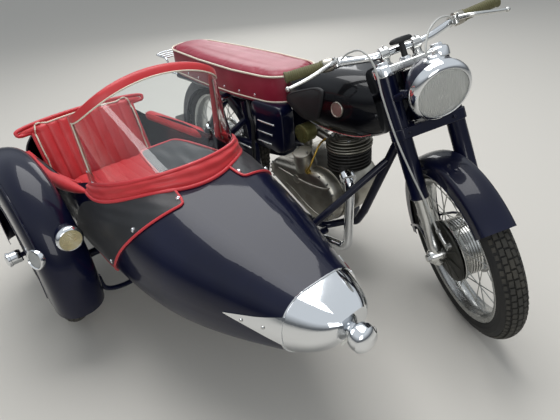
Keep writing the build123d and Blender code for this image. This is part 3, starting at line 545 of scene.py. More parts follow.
round_tree = copies_tree("copies_round_an_axis", True)
row_tree = copies_tree("copies_along_a_step", False)


def coated(made, material):
    """Gives an object one finish in place of any that it has."""
    made.data.materials.clear()
    made.data.materials.append(material)
    return made


def plain_mesh(made):
    """Replaces an object's modifiers with the mesh they make."""
    ready = made.evaluated_get(bpy.context.evaluated_depsgraph_get())
    mesh = bpy.data.meshes.new_from_object(ready)
    made.modifiers.clear()
    made.data = mesh
    mesh.name = made.name
    return made


def finer(made):
    """Splits each face of a plain mesh once, smoothly."""
    smoother = made.modifiers.new("finer", "SUBSURF")
    smoother.levels = smoother.render_levels = 1
    return plain_mesh(made)


def repeated(name, bm, material, body, tree, count, centre, direction, spacing, **how):
    """Copies of one shape, made real: spacing is radians round an axis or metres along a step."""
    mesh = bpy.data.meshes.new(name)
    bmesh.ops.recalc_face_normals(bm, faces=bm.faces)
    bm.to_mesh(mesh)
    bm.free()
    made = bpy.data.objects.new(name, mesh)
    scene.collection.objects.link(made)
    modifier = made.modifiers.new("copies", "NODES")
    modifier.node_group = tree
    values = {"Count": count, "Centre": centre, "Direction": direction, "Spacing": spacing,
              "Finish": material}
    for socket in tree.interface.items_tree:
        if socket.in_out == "INPUT" and socket.name in values:
            modifier[socket.identifier] = values[socket.name]
    bpy.context.view_layer.update()
    return settle(plain_mesh(made), body, **how)

# %% [markdown]
# ## Tyres
# The three tyres are alike: a road tyre with five rows of blocks. The carcass is one turned
# section with a ridged sidewall. The blocks are small wedges, two rows and their shoulders
# staggered, and a node tree carries them round the wheel. A longer block runs down the middle.

# %% Tyres
TYRE_RADIUS, CROWN_RADIUS, TREAD_DEPTH = 323.5, 45.0, 6.5
tread_rows = ((16.5, 13.5, 19.5, 0.0), (31.5, 11.0, 15.0, 0.5))
TREAD_PITCHES, CENTRE_PITCHES = 84, 66
carcass = [
    (29.0, 250.0), (32.5, 256.0), (36.5, 259.0), (40.0, 266.0), (42.4, 276.0), (43.6, 276.6),
    (44.0, 284.0), (43.3, 291.0), (42.7, 291.3), (40.0, 298.5), (35.5, 303.5),
]


def block(bm, centre, axis, outward, lateral, width, length, tilt_at=None):
    """One tread block: a wedge on the crown, lateral millimetres off the middle of the tyre."""
    lean = math.asin(lateral / CROWN_RADIUS)
    along = axis.cross(outward)
    normal = outward * math.cos(lean) + axis * math.sin(lean)
    across = axis * math.cos(lean) - outward * math.sin(lean)
    middle = centre + (axis * lateral + outward * (
        TYRE_RADIUS - CROWN_RADIUS + CROWN_RADIUS * math.cos(lean))) * MM
    if tilt_at:
        along = (along * math.cos(tilt_at) + axis * math.sin(tilt_at)).normalized()
    rings = []
    for depth, share in ((-TREAD_DEPTH, 1.0), (-1.0, 0.96), (0.0, 0.84)):
        rings.append([middle + (across * u * width / 2 * share + along * v * length / 2 * share
                                + normal * depth) * MM
                      for u, v in ((-1, -1), (1, -1), (1, 1), (-1, 1))])
    skin(bm, rings)


def tyre(place, centre, axis):
    """The carcass and the tread of one wheel."""
    start = square_to(axis)[0]
    crown = [(CROWN_RADIUS * math.sin(a),
              TYRE_RADIUS - TREAD_DEPTH + 0.5 - CROWN_RADIUS * (1 - math.cos(a)))
             for a in (math.radians(value) for value in (40, 28, 14, 0, -14, -28, -40))]
    profile = [*carcass, *crown, *[(-x, r) for x, r in reversed(carcass)]]
    turned(place + "_tyre_carcass", profile, centre, axis, tyre_rubber, place + "_wheel", 128, True,
           edge=50, replaces=[place + "_tyre"], slot="tyre")
    bm = bmesh.new()
    for lateral, width, length, shift in tread_rows:
        for side in (-1, 1):
            angle = 2 * math.pi / TREAD_PITCHES * (shift + (0.5 if side > 0 else 0.0))
            outward = start * math.cos(angle) + axis.cross(start) * math.sin(angle)
            block(bm, centre, axis, outward, side * lateral, width, length, side * 0.12)
    repeated(place + "_tread_blocks", bm, tread_rubber, place + "_wheel", round_tree, TREAD_PITCHES,
             centre, axis, 2 * math.pi / TREAD_PITCHES, edge=30, slot="tyre")
    bm = bmesh.new()
    block(bm, centre, axis, start, 0.0, 13.5, 25.5)
    repeated(place + "_tread_rib", bm, tread_rubber, place + "_wheel", round_tree, CENTRE_PITCHES,
             centre, axis, 2 * math.pi / CENTRE_PITCHES, edge=30, slot="tyre")


# %% [markdown]
# ## Rims, spokes and hubs
# A rim is rolled steel with two lips and a sunken middle. Thirty-six spokes leave the hub's
# flanges at a tangent, half of them leaning each way, so that they cross. Four spokes make the
# pattern: one leaning each way on each side, each with its nipple. The tree repeats them nine
# times.

# %% Rims and spokes
HUB_RADIUS, HUB_HALF = 100.0, 44.0
SPOKE_SETS, SPOKE_LEAD, SPOKE_RADIUS = 9, math.radians(18), 1.8
rim_profile = [
    (-33.5, 250.0), (-34.5, 257.5), (-37.5, 259.0), (-39.5, 256.5), (-38.0, 251.0), (-36.0, 246.0),
    (-33.0, 242.0), (-24.0, 240.5), (-17.0, 235.5), (-12.0, 232.5), (0.0, 232.0), (12.0, 232.5),
    (17.0, 235.5), (24.0, 240.5), (33.0, 242.0), (36.0, 246.0), (38.0, 251.0), (39.5, 256.5),
    (37.5, 259.0), (34.5, 257.5), (33.5, 250.0), (0.0, 244.0),
]


def rim_and_spokes(place, centre, axis):
    """The rolled rim, and its crossed spokes with their nipples."""
    body = place + "_wheel"
    turned(place + "_rim", rim_profile, centre, axis, rim_steel, body, 128, True,
           replaces=[place + "_wheel"], slot="brushed_rim", edge=50)
    start, other = square_to(axis)
    bm = bmesh.new()
    for side in (-1, 1):
        for lean in (-1, 1):
            first = math.radians(20 * side * 0.25 + (10 if lean > 0 else -10) + (5 if side > 0
                else 0))
            hub_way = start * math.cos(first) + other * math.sin(first)
            rim_turn = first + lean * SPOKE_LEAD
            rim_way = start * math.cos(rim_turn) + other * math.sin(rim_turn)
            low = centre + (hub_way * (HUB_RADIUS + 3) + axis * side * (HUB_HALF - 4)) * MM
            top = centre + (rim_way * 240 + axis * side * 7) * MM
            line = top - low
            pipe(bm, [low, top], SPOKE_RADIUS, 6)
            turn(bm, [(0, 0), (0, 2.6), (12, 2.6), (18, 3.6), (19, 0)],
                 top - line.normalized() * 17 * MM,
                 line, 6)
    repeated(place + "_spokes", bm, spoke_wire, body, round_tree, SPOKE_SETS, centre, axis,
             2 * math.pi / SPOKE_SETS, edge=40, slot="brushed_rim")


hub_profile = [
    (-44, 13), (-44, 58), (-41, 62), (-44, 66), (-44, 107), (-42, 109), (-37, 109), (-35, 107),
               (-34, 100),
    (-29, 96), *[(x + dx, r) for x in (-22, -13, -4, 5, 14) for dx,
                 r in ((0, 94), (1, 100), (4, 100), (5, 94))],
    (23, 94), (29, 96), (34, 100), (35, 107), (37, 109), (42, 109), (44, 107), (44, 66), (41, 62),
               (44, 58), (44, 13),
]
for place, centre, axis in (("front", front_axle, fork_left), ("rear", rear_axle, LEFT),
                            ("sidecar", sidecar_axle, LEFT)):
    tyre(place, centre, axis)
    rim_and_spokes(place, centre, axis)
    turned(place + "_hub", hub_profile, centre, axis, polished_alloy, place + "_wheel", 72,
           edge=30, slot="cast_aluminium")
print("wheels done, tread blocks on each:", TREAD_PITCHES * 4 + CENTRE_PITCHES)

# %% [markdown]
# ## The fork
# Two bright sliders run in painted shrouds. A slider is an aluminium casting, turned on a lathe,
# with a clamp for the axle at its foot. The shroud hides the spring and has a rolled lower lip.
# The yokes are flat forgings whose outline wraps round the legs and the steering stem.

# %% Fork legs
LEG_SIDE, LEG_AHEAD = 90.0, 36.0
YOKE_LOW, YOKE_TOP = 415.0, 620.0
slider_profile = [
    (-38, 0), (-38, 8), (-33, 10), (-32, 17), (-26, 21), (20, 22), (46, 21.5), (52, 19.5),
                  (140, 19.5),
    (146, 21), (196, 21.5), (206, 24.5), (213, 24.5), (216, 22), (216, 0),
]
shroud_profile = [
    (211, 26), (210, 30.5), (213, 32), (218, 31.5), (224, 29.8), (380, 29.8), (520, 30.4),
                  (619, 31), (619, 20),
]
sliders, shrouds = bmesh.new(), bmesh.new()
for side in (-1, 1):
    foot = on_fork(0, LEG_AHEAD, side * LEG_SIDE)
    turn(sliders, slider_profile, foot, fork_up, 40)
    turn(shrouds, shroud_profile, foot, fork_up, 40)
    outer = side * fork_left
    turn(sliders, [(-26, 0), (-26, 21), (-22, 24), (22, 24), (27, 21), (27, 0)], foot, outer, 36)
    turn(sliders, [(24, 0), (24, 13), (36, 13), (38, 11), (38, 0)], foot, outer, 6)
    bolt_heads(sliders, [on_fork(z, LEG_AHEAD + 22, side * LEG_SIDE) for z in (-19, 19)],
               fork_ahead, 11, 9)
    bolt_heads(sliders, [on_fork(150, LEG_AHEAD - 20, side * (LEG_SIDE + 14))], -fork_ahead, 9, 10)
piece("fork_legs", sliders, polished_alloy, "fork", replaces=["fork_sliders"],
      slot="cast_aluminium")
piece("leg_shrouds", shrouds, navy, "fork", replaces=["fork_shrouds"], slot="navy_enamel")
turned("front_axle_shaft", [(-90, 0), (-90, 9), (90, 9), (90, 0)], front_axle, fork_left, rim_steel,
       "fork", 20)


def yoke_outline(along, radius):
    """The outline of a yoke: round each leg and round the stem, drawn in a little between them."""
    spots = [(LEG_AHEAD, -LEG_SIDE), (LEG_AHEAD, LEG_SIDE), (0, 0)]
    outline = []
    for angle in full_turn(72):
        way = (math.cos(angle), math.sin(angle))
        foot = max(spots, key=lambda spot: spot[0] * way[0] + spot[1] * way[1])
        outline.append(on_fork(along, foot[0] + way[0] * radius, foot[1] + way[1] * radius))
    return outline


bm = bmesh.new()
slab(bm, yoke_outline(YOKE_LOW, 36), Vector(), fork_up * 34 * MM)
for side in (-1, 1):
    bolt_heads(bm, [on_fork(YOKE_LOW + 17, LEG_AHEAD + 34, side * (LEG_SIDE - 16))], fork_ahead, 12,
               8)
piece("lower_yoke", bm, navy, "fork", bevel=4, slot="navy_enamel")

# %% Top yoke, caps and damper knob
BAR_UP, BAR_AHEAD, CLAMP_SIDE = 684.0, -26.0, 54.0
bm = bmesh.new()
slab(bm, yoke_outline(YOKE_TOP, 33), Vector(), fork_up * 26 * MM)
piece("top_yoke_forging", bm, polished_alloy, "fork", bevel=5, replaces=["top_yoke"],
      slot="cast_aluminium")
caps, risers = bmesh.new(), bmesh.new()
for side in (-1, 1):
    spot = on_fork(0, LEG_AHEAD, side * LEG_SIDE)
    turn(caps, [(617, 32), (616, 34), (618, 35.5), (640, 35.5), (646, 33), (650, 27), (652, 20)],
         spot, fork_up, 48)
    turn(caps, [(650, 20), (657, 19.5), (661, 17), (662, 0)], spot, fork_up, 6)
    turn(risers, [(642, 0), (642, 20), (648, 20), (653, 15), (668, 15), (675, 18), (684, 19),
                  (684, 0)],
         on_fork(0, BAR_AHEAD, side * CLAMP_SIDE), fork_up, 32)
    turn(risers, [(-15, 0), (-15, 20), (-13, 22), (13, 22), (15, 20), (15, 0)],
         on_fork(BAR_UP, BAR_AHEAD, side * CLAMP_SIDE), fork_left, 32)
    bolt_heads(risers, [on_fork(BAR_UP + 12, BAR_AHEAD + shift, side * CLAMP_SIDE)
        for shift in (-15, 15)],
               fork_up, 7, 13)
turn(caps, [(644, 0), (644, 19), (654, 18), (657, 14), (657, 0)], steer_base, fork_up, 8)
piece("fork_caps", caps, chrome, "fork", bevel=1, slot="chrome")
piece("bar_clamps", risers, polished_alloy, "fork", bevel=1.2, slot="cast_aluminium")

bm = bmesh.new()
knob_foot = on_fork(0, 4)
rings = turn(bm, [(698, 9), (700, 32), (703, 37), (710, 37), (715, 31), (717, 14), (716, 0)],
             knob_foot, fork_up, 72)
for ring in rings:
    for vert in ring:
        vert.co -= fork_ahead * (vert.co - knob_foot).dot(fork_ahead) * 0.52
turn(bm, [(654, 0), (654, 10), (702, 9), (704, 0)], knob_foot, fork_up, 20)
piece("steering_damper_knob", bm, black_rubber, "fork", replaces=["damper_knob"],
      slot="black_rubber")

# %% [markdown]
# ## Headlamp
# The bowl is pressed steel, painted with the fork. Its chromed rim is a thick rolled ring, and
# the glass bulges in front of a silvered reflector with a bulb. The switch on top is a chromed
# turret with a key. All of it points along the machine, tipped a little down, when the fork is
# straight.

# %% Headlamp
RAKE, LAMP_TILT = math.radians(23), math.radians(11.5)
level_ahead = fork_ahead * math.cos(RAKE) - fork_up * math.sin(RAKE)
level_rise = fork_ahead * math.sin(RAKE) + fork_up * math.cos(RAKE)
lamp_axis = level_ahead * math.cos(LAMP_TILT) - level_rise * math.sin(LAMP_TILT)
lamp_up = level_ahead * math.sin(LAMP_TILT) + level_rise * math.cos(LAMP_TILT)
lamp_spot = on_fork(538, 191)
bowl = [(2, 85), (-14, 86), (-18, 85.5), (-40, 82.5), (-62, 75), (-84, 62.5), (-103, 45),
        (-117, 27), (-125, 11), (-127, 0)]
turned("headlamp_bowl", bowl, lamp_spot, lamp_axis, navy, "fork", 96, replaces=["headlamp_shell"],
       slot="navy_enamel")
rim_section = [(-8, 86.5), (-9, 90), (-6, 92.5), (4, 93), (13, 91), (20, 86.5), (24, 80),
               (24.5, 77.5),
               (22, 76), (18, 76), (8, 82), (-4, 84.5)]
turned("headlamp_bezel", rim_section, lamp_spot, lamp_axis, chrome, "fork", 96, True,
       replaces=["headlamp_rim"], slot="chrome")
glass_section = [(18, 77), (21, 75.5), (26, 66), (30, 50), (32.5, 29), (34, 0), (31, 0), (29.5, 29),
    (27, 49),
                 (23, 65), (18.5, 73.5), (16, 76)]
turned("headlamp_glass", glass_section, lamp_spot, lamp_axis, lamp_glass, "fork", 96,
       replaces=["headlamp_lens"], slot="lamp_glass")
dish = [(17, 76), (2, 67), (-18, 49), (-31, 28), (-35, 10), (-35, 0)]
turned("headlamp_reflector", dish, lamp_spot, lamp_axis, mirror, "fork", 64, slot="chrome")
turned("headlamp_bulb", [(-35, 0), (-35, 9), (-14, 9), (-12, 11), (0, 12), (9, 8), (12, 0)],
       lamp_spot, lamp_axis,
       lamp_glass, "fork", 24)
switch_spot = lamp_spot + (lamp_up * 81 - lamp_axis * 34) * MM
switch_axis = (lamp_up * 0.95 - lamp_axis * 0.31).normalized()
bm = bmesh.new()
turn(bm, [(-8, 0), (-8, 29), (-3, 30), (1, 28), (3, 23), (4, 20), (9, 18), (12, 14), (13, 0)],
     switch_spot, switch_axis, 48)
turn(bm, [(11, 0), (11, 5), (22, 4), (24, 0)], switch_spot, switch_axis, 20)
piece("ignition_switch", bm, chrome, "fork", slot="chrome")
key_side = switch_axis.cross(fork_left).normalized()
bm = bmesh.new()
key_middle = switch_spot + switch_axis * 20 * MM
key = [key_middle + (key_side * 9 * math.cos(a) + switch_axis * 7 * math.sin(a)) * MM
       for a in full_turn(24)]
slab(bm, key, fork_left * -1.2 * MM, fork_left * 1.2 * MM)
piece("switch_key", bm, strip_alloy, "fork", bevel=0.6, slot="cast_aluminium")
ears = bmesh.new()
for side in (-1, 1):
    inner = on_fork(545, LEG_AHEAD + 24, side * (LEG_SIDE - 6))
    ear_end = lamp_spot + (fork_left * side * 85 - lamp_axis * 34) * MM
    pipe(ears, [inner, (inner + ear_end) / 2 + fork_left * side * 4 * MM, ear_end], 11, 14)
    turn(ears, [(-6, 0), (-6, 12), (4, 12), (6, 9), (6, 0)], ear_end, fork_left * side, 6)
piece("headlamp_ears", ears, navy, "fork", bevel=1, slot="navy_enamel")

# %% [markdown]
# ## Handlebar, grips and levers
# One chromed tube is bent up and back, and wears a ribbed rubber grip at each end. Each lever is
# a round tapering blade that ends in a ball and pivots in a clip.

# %% Handlebar
bar_half = [(684, -26, 0), (684, -26, 72), (689, -34, 116), (701, -52, 172), (709.5, -62.5, 218),
            (716, -67.5, 290),
            (720, -70, 366)]
bar_line = smooth_path([on_fork(a, f, -s) for a, f, s in reversed(bar_half[1:])]
                       + [on_fork(a, f, s) for a, f, s in bar_half], 7)
piped("handlebar_tube", [bar_line], 12, chrome, "fork", 24, replaces=["handlebar"], slot="chrome")
grips, collars, perches, levers = bmesh.new(), bmesh.new(), bmesh.new(), bmesh.new()
for side in (-1, 1):
    inner, outer = on_fork(713, -66.2, side * 246), on_fork(720.4, -70.3, side * 374)
    grip_axis = (outer - inner).normalized()
    reach = (outer - inner).length / MM
    section = [(0, 12.5), (0, 19.5), (5, 20)]
    for step in range(16):
        start = 8 + step * (reach - 22) / 16
        section += [(start, 16.2), (start + 1.2, 17.4), (start + 5.4, 17.4), (start + 6.4, 16.2)]
    section += [(reach - 9, 17), (reach - 6, 19.5), (reach - 1, 19), (reach + 1, 14),
                (reach + 1.5, 0)]
    turn(grips, section, inner, grip_axis, 32)
    turn(collars, [(-34, 12.5), (-34, 19), (-32, 22), (-4, 22), (-1, 20), (-1, 12.5)], inner,
         grip_axis, 36)
    perch = on_fork(708.5, -62, side * 208)
    turn(perches, [(-13, 12), (-13, 17), (13, 17), (13, 12)], perch, grip_axis, 32)
    pivot = on_fork(712, -26, side * 212)
    pipe(perches, [perch + fork_ahead * 12 * MM, pivot], 9.5, 18)
    turn(perches, [(-14, 5), (-14, 11), (13, 11), (13, 5)], on_fork(709.5, -38.4, side * 206),
         fork_up, 28)
    bolt_heads(perches, [pivot + fork_up * 9 * MM], fork_up, 13, 6)
    tip = 384 if side < 0 else 362
    blade = smooth_path([pivot + fork_ahead * 2 * MM, on_fork(707, -4, side * 238),
        on_fork(700, 2, side * 272),
                         on_fork(690, -2, side * 322), on_fork(683, -6, side * tip)], 6)
    last = len(blade) - 1
    pipe(levers, blade, [8.5 - 3.2 * step / last for step in range(last + 1)], 14)
    turn(levers, arc((0, 0), 8.5, 180, 0, 10), blade[-1], fork_left * side, 18)
piece("bar_grips", grips, khaki_rubber, "fork", replaces=["grips"], slot="khaki_rubber")
piece("grip_collars", collars, case_alloy, "fork", slot="cast_aluminium")
piece("lever_clips", perches, polished_alloy, "fork", bevel=0.8, slot="cast_aluminium")
piece("lever_blades", levers, polished_alloy, "fork", replaces=["control_levers"], slot="chrome")

# %% [markdown]
# ## Front mudguard and brake
# A mudguard is one section swept round the wheel: a soft crown, straight skirts and a wired edge.
# It is made as a closed section with a real wall, so its underside shows too. The brake plate is
# a ribbed casting that the axle holds still beside the turning hub.

# %% Mudguard maker


def guard_section(crown, half, foot, wall, bead=3.2, soft=0.5, drop=30):
    """The section of a mudguard: half runs from the crown to the wired edge and back inside."""
    outer = [(half * math.sin(a), crown - drop + drop * max(0.0, math.cos(a)) ** soft)
             for a in (math.pi / 2 * step / 14 for step in range(15))]
    edge = [(half + bead * 0.6 * math.sin(a), foot + bead * math.cos(a))
            for a in (math.pi * step / 6 for step in range(7))]
    inner = [(max(0.0, x - wall) if x else 0.0, r - wall) for x, r in reversed(outer)]
    right_half = [*outer, *edge, *inner]
    left_half = [(-x, r) for x, r in reversed(right_half[1:-1])]
    return [*right_half, *left_half]


def guard(name, section, centre, axis, first, last, body, node, steps=64):
    """A mudguard from one angle above the front horizon to another, its ends closed."""
    ahead = axis.cross(UP).normalized() if abs(axis.z) < 0.05 else level_ahead
    outward = axis.cross(ahead)
    if outward.z < 0:
        outward = -outward
    bm = bmesh.new()
    start = ahead * math.cos(math.radians(first)) + outward * math.sin(math.radians(first))
    spin_axis = -axis if ahead.cross(outward).dot(-axis) > 0 else axis
    rings = turn(bm, section, centre, spin_axis, steps, True, last - first, start)
    for column in (0, -1):
        bm.faces.new([ring[column] for ring in rings[:-1]])
    return piece(name, bm, navy, body, edge=50, replaces=[node], slot="navy_enamel")


guard("front_guard", guard_section(crown=336, half=53.5, foot=280, wall=2.5), front_axle, fork_left,
      first=47, last=205, body="fork", node="front_mudguard")
STAY_TURN = math.radians(198)
stays = bmesh.new()
for side in (-1, 1):
    rear_end = front_axle + (fork_left * side * 55 + (level_ahead * math.cos(STAY_TURN)
                             + level_rise * math.sin(STAY_TURN)) * 296) * MM
    pipe(stays, smooth_path([rear_end, on_fork(60, -110, side * 76),
        on_fork(30, 14, side * (LEG_SIDE + 4))], 4), 5, 10)
    pipe(stays, [on_fork(300, LEG_AHEAD, side * 52), on_fork(300, LEG_AHEAD, side * 66)], 7, 12)
    bolt_heads(stays, [on_fork(30, 14, side * (LEG_SIDE + 8)), rear_end], fork_left * side, 8, 7)
piece("front_guard_stays", stays, navy, "fork", slot="navy_enamel")

# %% Front brake
plate_profile = [(-50, 0), (-50, 105), (-51, 107.5), (-54, 108), (-57, 106), (-59, 97), (-61, 68),
    (-63, 44), (-66, 30),
                 (-68, 25), (-68, 0)]
turned("front_brake_casting", plate_profile, front_axle, fork_left, drum_alloy, "fork", 72, edge=25,
       replaces=["front_brake_plate"], slot="cast_aluminium")
bm = bmesh.new()
rib_start = square_to(fork_left)[0]
pipe(bm, [front_axle + (rib_start * radius + fork_left * side) * MM for radius,
          side in ((30, -64), (98, -57))],
     [5, 3.5], 8)
repeated("brake_plate_ribs", bm, drum_alloy, "fork", round_tree, 10, front_axle, fork_left,
         2 * math.pi / 10, slot="cast_aluminium")
bm = bmesh.new()
cam_spot = front_axle + (level_rise * 62 + level_ahead * 40 - fork_left * 56) * MM
lever_end = front_axle + (level_rise * 104 + level_ahead * 2 - fork_left * 78) * MM
turn(bm, [(-10, 0), (-10, 15), (10, 13), (18, 13), (20, 0)], cam_spot, -fork_left, 20)
pipe(bm, [cam_spot - fork_left * 14 * MM, (cam_spot + lever_end) / 2 - fork_left * 8 * MM,
          lever_end], [8, 7, 6], 10)
turn(bm, [(-6, 0), (-6, 8), (6, 8), (6, 0)], lever_end, fork_left, 16)
piece("front_brake_lever", bm, rim_steel, "fork", bevel=0.8, slot="cast_aluminium")
print("fork done")

# %% [markdown]
# ## Parts that keep their engineered shape
# Bent tube, plate and plain turned bars already have their true shape in the solid model. They
# only need their finish, so each is given its material here.

# %% Finishes on the solid parts
solid_finishes = {
    "main_frame": navy, "rear_fork": navy, "chain_case": navy, "number_plate": white_enamel,
    "foot_controls": black_rubber, "luggage_rack": chrome, "sidecar_chassis": navy,
                  "sidecar_struts": navy,
    "exhaust_pipe": chrome, "sidecar_body": navy, "nose_cap": chrome,
}


def dress(node, material):
    """Gives a solid part its finish."""
    mesh = coated(frame["nodes"][node], material).data
    mesh.shade_smooth()
    mesh.set_sharp_from_angle(angle=math.radians(30))


for node, material in solid_finishes.items():
    dress(node, material)
print(len(solid_finishes), "solid parts finished")

# %% [markdown]
# ## Skins over rings
# A tank is pressed over a former whose sections change smoothly along its length. `hoop` draws
# one section, a rectangle with soft corners, and `between` fills in the sections of a short
# table.

# %% Skinning


def hoop(x, y, half, top, bottom, corner, count=64, grow=0.0):
    """A section across the machine: a rectangle with round corners, as a ring of points."""
    wide, tall = half + grow, (top - bottom) / 2 + grow
    round_off = corner * 2 * min(wide, tall)
    middle = (top + bottom) / 2
    ring = []
    for step in range(count):
        angle = 2 * math.pi * (step + 0.5) / count
        way_y, way_z = math.cos(angle), math.sin(angle)
        edge_y = math.copysign(wide - round_off, way_y) + round_off * way_y
        edge_z = math.copysign(tall - round_off, way_z) + round_off * way_z
        ring.append(at(x, y + edge_y, middle + edge_z))
    return ring


def between(table, count):
    """Rows of a table of sections, smoothly filled in between by count steps for each span."""
    columns = [smooth_path([Vector((row[0], row[column], 0)) for row in table], count)
               for column in range(1, len(table[0]))]
    return [(columns[0][step].x, *[column[step].y for column in columns])
            for step in range(len(columns[0]))]


def carved(made, cutter):
    """Cuts one closed piece out of another and keeps the result as a plain mesh."""
    cut = made.modifiers.new("cut", "BOOLEAN")
    cut.operation, cut.object, cut.solver = "DIFFERENCE", cutter, "EXACT"
    plain_mesh(made)
    bpy.data.objects.remove(cutter)
    return made


def loose(name, bm):
    """A plain object that is only a tool for another."""
    mesh = bpy.data.meshes.new(name)
    bmesh.ops.recalc_face_normals(bm, faces=bm.faces)
    bm.to_mesh(mesh)
    bm.free()
    made = bpy.data.objects.new(name, mesh)
    scene.collection.objects.link(made)
    return made


# %% [markdown]
# ## Fuel tank
# The tank is two pressings welded along the bottom, under deep blue-black enamel. A hollow in its
# nose lets the fork turn, and a bright strip hides the seam. Rubber pads take the rider's knees,
# and a plain bright disc is set in each side.

# %% Fuel tank
tank_table = ((600, 70, 770, 690), (650, 108, 806, 662), (760, 142, 842, 632), (900, 152, 860, 622),
              (1030, 140, 858, 636), (1110, 96, 840, 676), (1140, 52, 818, 716))
tank_rows = between(tank_table, 6)
tank_rings = [hoop(x, 0, half, top, bottom, 0.44) for x, half, top, bottom in tank_rows]
bm = bmesh.new()
first, last = tank_rows[0], tank_rows[-1]


def tank_end(row, out, share):
    """A small section just beyond an end of the tank, which rounds it off."""
    x, half, top, bottom = row
    middle, tall = (top + bottom) / 2, (top - bottom) / 2
    return hoop(x + out, 0, half * share, middle + tall * share, middle - tall * share, 0.48)


nose = [tank_end(last, out, share) for out, share in ((3, 0.8), (4, 0.4))]
tail = [tank_end(first, -out, share) for out, share in ((4, 0.4), (3, 0.8))]
skin(bm, [*tail, *tank_rings, *nose])
tank = loose("tank_shell", bm)
bm = bmesh.new()
turn(bm, [(300, 0), (300, 134), (900, 134), (900, 0)], steer_base, fork_up, 96)
carved(tank, loose("fork_room", bm))
settle(coated(tank, tank_black), "root", bevel=4, replaces=["fuel_tank"], slot="navy_enamel")


def tank_side(x, z, side, proud=0.0):
    """The point of the tank's skin at a place on its side, standing proud by some millimetres."""
    half, top, bottom = [np.interp(x, [row[0] for row in tank_rows],
        [row[column] for row in tank_rows])
                         for column in (1, 2, 3)]
    wide, tall, middle = half + proud, (top - bottom) / 2 + proud, (top + bottom) / 2
    round_off = 0.88 * min(wide, tall)
    rise = abs(z - middle) - (tall - round_off)
    edge = wide if rise <= 0 else wide - round_off + math.sqrt(max(0.0, round_off ** 2 - rise ** 2))
    return at(x, side * edge, z)


# %% Knee pads, side discs, strip and cap
knee_outline = ((640, 700), (655, 729), (720, 762), (830, 799), (876, 803), (892, 786), (879, 728),
                (844, 680),
                (757, 655), (690, 652), (655, 668))
KNEE_MIDDLE = (765, 718)
bm = bmesh.new()
for side in (-1, 1):
    border = [(point.x, point.y) for point in smooth_loop(knee_outline, 4)]
    rings = []
    for share, proud in ((1.0, -3), (1.0, 4.5), (0.975, 6.5), (0.94, 7.0), (0.9, 5.6), (0.86, 6.6),
        (0.5, 7.4), (0.2, 7.6)):
        rings.append([bm.verts.new(tank_side(KNEE_MIDDLE[0] + (x - KNEE_MIDDLE[0]) * share,
                                             KNEE_MIDDLE[1] + (z - KNEE_MIDDLE[1]) * share, side,
                                             proud)) for x, z in border])
    rings.append([bm.verts.new(tank_side(*KNEE_MIDDLE, side, 7.6))])
    ring_faces(bm, rings)
    bm.faces.new(rings[0])
piece("knee_rubbers", bm, black_rubber, "root", 40, replaces=["knee_pads"], slot="black_rubber")
bm = bmesh.new()
for side in (-1, 1):
    spot = tank_side(955, 748, side)
    turn(bm, [(-6, 0), (-6, 27), (3, 27), (4.5, 25.5), (4.5, 23), (3.4, 22), (3.6, 0)], spot,
         (LEFT * side + UP * 0.12).normalized(), 48)
piece("tank_badge_discs", bm, case_alloy, "root", slot="cast_aluminium")
seams = []
for side in (-1, 1):
    seams.append(smooth_path([tank_side(x, z, side, 1.5) for x, z in (
        (668, 668), (720, 650), (800, 636), (900, 633), (1000, 642), (1060, 664))], 6))
piped("tank_seam_strips", seams, 3.2, chrome, "root", 10, slot="chrome")
turned("tank_filler_cap", [(-4, 0), (-4, 34), (4, 36), (8, 36), (14, 33), (17, 30), (20, 20),
    (21, 0)], at(860, 0, 856),
       UP, chrome, "root", 72, edge=25, replaces=["filler_cap"], slot="chrome")

# %% [markdown]
# ## Dual seat
# A foam pad covered in burgundy vinyl, over a deep skirt of the same cloth. The pad is made a
# little too small, inflated by a short cloth simulation so that it crowns as foam does, and then
# edged with cream piping. Bright studs hold the skirt to its base.

# %% Cloth that swells
PAD_PRESSURE, CLOTH_STIFFNESS, CLOTH_FRAMES = 4.0, 12.0, 20


def swollen(made, pressure, most_mm, voxel_mm=6.0):
    """Inflates a closed pad with a cloth simulation and lets no point move further than most_mm."""
    coarse = made.modifiers.new("voxels", "REMESH")
    coarse.mode, coarse.voxel_size = "VOXEL", voxel_mm * MM
    plain_mesh(made)
    start = np.empty(len(made.data.vertices) * 3)
    made.data.vertices.foreach_get("co", start)
    cloth = made.modifiers.new("cloth", "CLOTH")
    cloth.settings.use_pressure, cloth.settings.uniform_pressure_force = True, pressure
    cloth.settings.effector_weights.gravity = 0.0
    cloth.settings.quality = 4
    cloth.settings.tension_stiffness = cloth.settings.compression_stiffness = CLOTH_STIFFNESS
    for number in range(1, CLOTH_FRAMES + 1):
        scene.frame_set(number)
    ready = made.evaluated_get(bpy.context.evaluated_depsgraph_get()).to_mesh()
    end = np.empty_like(start)
    ready.vertices.foreach_get("co", end)
    made.modifiers.clear()
    scene.frame_set(1)
    start, move = start.reshape(-1, 3), (end - start).reshape(-1, 3)
    size = np.linalg.norm(move, axis=1, keepdims=True)
    move *= np.minimum(1.0, most_mm * MM / np.maximum(size, 1e-9))
    made.data.vertices.foreach_set("co", (start + move).ravel())
    made.data.update()
    print(made.name, "swelled by up to", round(float(min(size.max(), most_mm * MM)) / MM, 1), "mm")
    return made


# %% Dual seat
seat_circles = ((-185, 112), (60, 134), (330, 142), (505, 131))
SEAT_LOW, PIPING_HEIGHT = 672.0, 786.0


def seat_outline(inset, count=120):
    """The seat's plan: a tight belt round four circles, drawn in by an inset."""
    belt = []
    for angle in full_turn(count):
        way = (math.cos(angle), math.sin(angle))
        x, radius = max(seat_circles, key=lambda circle: circle[0] * way[0] + circle[1])
        belt.append((x + way[0] * (radius - inset), way[1] * (radius - inset)))
    return belt


def seat_lift(x):
    """The pad climbs a little towards its tail."""
    return 8.0 * max(0.0, min(1.0, (250 - x) / 450))


